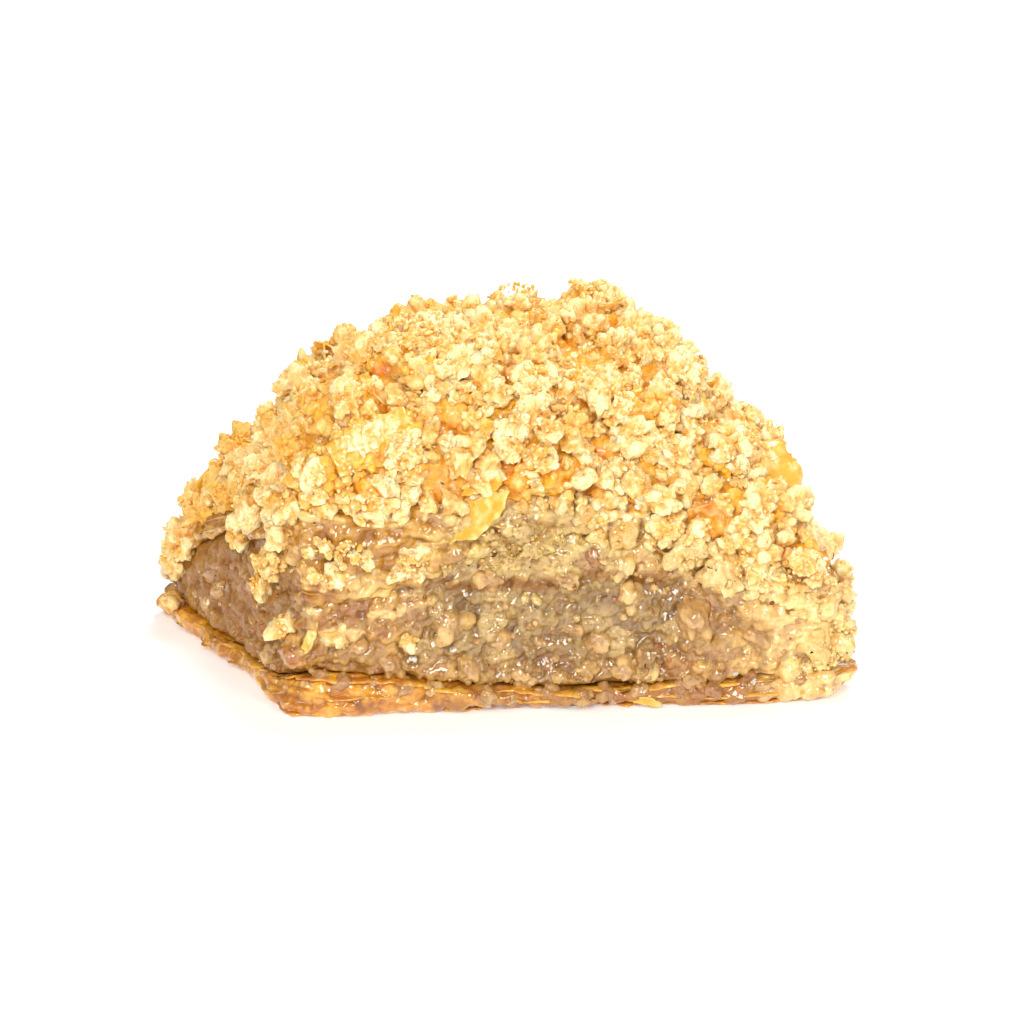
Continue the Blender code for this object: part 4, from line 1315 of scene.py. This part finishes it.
def flake_shape(rng, centre, along, across, length, width, point, curl):
    """A thin torn sheet: a closed shell with an uneven edge."""
    columns, rows = FLAKE_GRID
    normal = np.cross(along, across)
    u, v = np.meshgrid(np.linspace(-1, 1, columns), np.linspace(-1, 1, rows), indexing="ij")
    shift = rng.uniform(0, 90)
    rim = np.stack((3 * u.ravel(), np.sign(v.ravel()) + shift, 0 * u.ravel()), axis=1)
    tear = waves(rim, (0.16, 1.0, 61), (0.08, 0.3, 62)).reshape(u.shape)
    half = width / 2 * (1 - point * np.abs(u) ** 2.2) + tear * width
    flat = centre + along * (u * length / 2)[..., None] + across * (v * half)[..., None]
    ripple = waves(flat.reshape(-1, 3), (0.22, 1.8, 63), (0.1, 0.6, 64)).reshape(u.shape)
    rise = curl * (u * u - 0.35) + 0.4 * curl * v * v + ripple
    sides = [flat + normal * (rise + s * FLAKE_THICKNESS / 2)[..., None] for s in (1, -1)]
    verts = np.concatenate([side.reshape(-1, 3) for side in sides])
    index = np.arange(columns * rows).reshape(columns, rows)
    corners = (index[:-1, :-1], index[1:, :-1], index[1:, 1:], index[:-1, 1:])
    a, b, c, d = (corner.ravel() for corner in corners)
    top = np.concatenate((np.stack((a, b, c), 1), np.stack((a, c, d), 1)))
    under = top[:, ::-1] + columns * rows
    loop = np.concatenate((index[:, 0], index[-1, 1:], index[-2::-1, -1], index[0, -2:0:-1]))
    after = np.roll(loop, -1)
    below, below_after = loop + columns * rows, after + columns * rows
    first, second = np.stack((loop, below, below_after), 1), np.stack((loop, below_after, after), 1)
    return verts, np.concatenate((top, under, first, second))


def flake_pieces(layers, material):
    """Broken sheets: those that the photo shows, and others away from the front."""
    rng = np.random.default_rng(SEED + 4)
    meshes = []
    for x1, y1, x2, y2, width, point, curl, lift, tone in PHOTO_FLAKES:
        middle = under_pixel((x1 + x2) / 2, (y1 + y2) / 2, layers.trees.values())
        if middle is None:
            continue
        centre, normal = middle
        depth = (centre - CAMERA_PLACE) @ FORWARD
        span = (RIGHT * (x2 - x1) - UP * (y2 - y1)) * depth / FOCAL_PIXELS
        normal = normal - 0.8 * FORWARD
        normal /= np.linalg.norm(normal)
        along = span - normal * (span @ normal)
        length = np.linalg.norm(along)
        along /= length
        across = np.cross(normal, along)
        place = centre + normal * lift
        v, f = flake_shape(rng, place, along, across, length, width, point, curl)
        meshes.append((v, f, np.full(len(v), tone)))
    verts, faces, opened = layers.skins["nut_topping"]
    hidden = opened * step(verts[:, 1], -8.0, 0.0)
    points, normals = surface_points(rng, LOOSE_FLAKES, verts, faces, hidden)
    for point, normal in zip(points, normals):
        along = np.cross(normal, rng.normal(size=3))
        along /= np.linalg.norm(along)
        tilt = normal + 0.35 * rng.normal(size=3)
        across = np.cross(tilt / np.linalg.norm(tilt), along)
        size = [rng.uniform(*limits) for limits in (FLAKE_LENGTHS, FLAKE_WIDTHS, FLAKE_POINTS)]
        v, f = flake_shape(rng, point + 0.5 * normal, along, across, *size, FLAKE_CURL)
        meshes.append((v, f, np.full(len(v), rng.uniform(*FLAKE_TONES))))
    verts, faces, tones = join(*meshes)
    verts = kept_in_box(verts)
    values = {"tone": tones, "film": vertex_normals(verts, faces)}
    make_piece("pastry_flakes", material, "nut_topping", verts, faces, values)


def sheet_edge(layers, angles, levels, thickness, reach, number, key):
    """One ragged edge that stands out of a pastry layer all round it, as a closed ring."""
    along = np.stack((np.cos(angles), np.sin(angles)), axis=1) * EDGE_RING
    ring = np.column_stack((along, np.full(EDGE_POINTS, 5.0 * number)))
    wave = waves(ring, (0.5, 5.0, key), (0.25, 1.7, key + 1))
    heights = np.maximum(levels + 0.9 * wave, 0.25)
    walls = np.array([layers.wall(a, max(h, 0.4)) for a, h in zip(angles, heights)])
    torn = waves(ring, (1.0, 3.0, key + 2), (0.5, 0.8, key + 3))
    out = reach * np.clip(0.1 + 1.1 * torn, -0.9, 1.3)
    outward = unit(walls * (1, 1, 0))
    thick = thickness * (1 + 0.5 * smooth_noise(ring, 2.2, key + 5))
    upper, lower = [], []
    for place, thin, drop in SHEET_SECTION:
        away = np.full(EDGE_POINTS, place) if place < 0 else place * out
        spot = walls + outward * away[:, None]
        spot[:, 2] = heights - drop * np.maximum(out, 0)
        rise = np.outer(thin * thick, (0.0, 0.0, 1.0))
        upper.append(spot + rise)
        lower.append(spot - rise)
    verts = np.concatenate(upper + lower[::-1])
    verts[:, 2] = np.maximum(verts[:, 2], 0.03)
    a = np.arange(len(verts)).reshape(-1, EDGE_POINTS)
    b = np.roll(a, -1, axis=0)
    c, d = np.roll(b, -1, axis=1), np.roll(a, -1, axis=1)
    halves = [np.stack([corner.ravel() for corner in half], 1) for half in ((a, b, c), (a, c, d))]
    tone = np.clip(0.5 + 0.5 * smooth_noise(ring, 4.0, key + 4), 0, 1)
    return verts, np.concatenate(halves), np.tile(tone, len(a))


def sheet_edges(layers, name, node, material, edges):
    """The ragged edges that stand out of a pastry layer."""
    sheets, reach, seed = edges
    angles = np.linspace(0, 2 * math.pi, EDGE_POINTS, endpoint=False)
    low, high = (around(heights, angles) for heights in layers.band(node))
    meshes = []
    for number, (share, thickness) in enumerate(sheets):
        levels = low + (high - low) * share
        key = seed + 7 * number
        meshes.append(sheet_edge(layers, angles, levels, thickness, reach, number, key))
    verts, faces, tones = join(*meshes)
    verts = kept_in_box(verts)
    values = {"tone": tones, "film": vertex_normals(verts, faces)}
    make_piece(name, material, node, verts, faces, values)


def stage_and_lights():
    """A plain pale floor, a soft sky and four lamps."""
    bpy.ops.mesh.primitive_plane_add(size=4.0, location=(0, 0, 0))
    floor = bpy.context.object
    floor.name = "floor"
    look = Look("floor")
    look.set(Base_Color=(0.9, 0.9, 0.895, 1.0), Roughness=0.6)
    look.set(Emission_Color=(1.0, 1.0, 1.0, 1.0), Emission_Strength=0.3)
    floor.data.materials.append(look.material)

    world = bpy.data.worlds.new("studio")
    bpy.context.scene.world = world
    world.use_nodes = True
    sky = world.node_tree.nodes["Background"]
    sky.inputs["Color"].default_value = SKY_COLOUR
    sky.inputs["Strength"].default_value = SKY_STRENGTH

    for name, place, size, power in LAMPS:
        data = bpy.data.lights.new(name, "AREA")
        data.size = size
        data.color = LAMP_COLOUR
        data.energy = power
        lamp = bpy.data.objects.new(name, data)
        lamp.location = place
        lamp.rotation_mode = "QUATERNION"
        lamp.rotation_quaternion = (-Vector(place)).to_track_quat("-Z", "Y")
        bpy.context.scene.collection.objects.link(lamp)


def camera():
    """The photograph's view."""
    data = bpy.data.cameras.new("camera")
    data.sensor_width = SENSOR_WIDTH
    data.lens = SENSOR_WIDTH * FOCAL_PIXELS / PICTURE_SIDE
    data.clip_start = 0.01
    data.clip_end = 10.0
    view = bpy.data.objects.new("camera", data)
    view.location = CAMERA_PLACE * MM
    view.rotation_mode = "QUATERNION"
    view.rotation_quaternion = Vector(FORWARD).to_track_quat("-Z", "Y")
    bpy.context.scene.collection.objects.link(view)
    bpy.context.scene.camera = view


def main():
    camera()
    layers = Layers()
    base = pastry_look("base_pastry", BASE_COLOURS, 0.9)
    top = pastry_look("top_pastry", TOP_COLOURS, 0.8)
    pastry_skin(layers, "base_pastry", "base_sheets", base, BASE_SHEETS)
    filling_skin(layers, filling_look())
    pastry_skin(layers, "top_pastry", "top_sheets", top, TOP_SHEETS)
    topping_skin(layers, core_look())
    sheet_edges(layers, "base_edges", "base_pastry", base, BASE_EDGES)
    sheet_edges(layers, "top_edges", "top_pastry", top, TOP_EDGES)
    crumb_pieces(layers, crumb_look())
    nut_pieces(layers, nut_look())
    flake_pieces(layers, flake_look())
    sugar_pieces(layers, sugar_look())
    speck_pieces(layers, speck_look())
    stage_and_lights()
    bpy.context.scene.view_settings.view_transform = "Standard"


main()
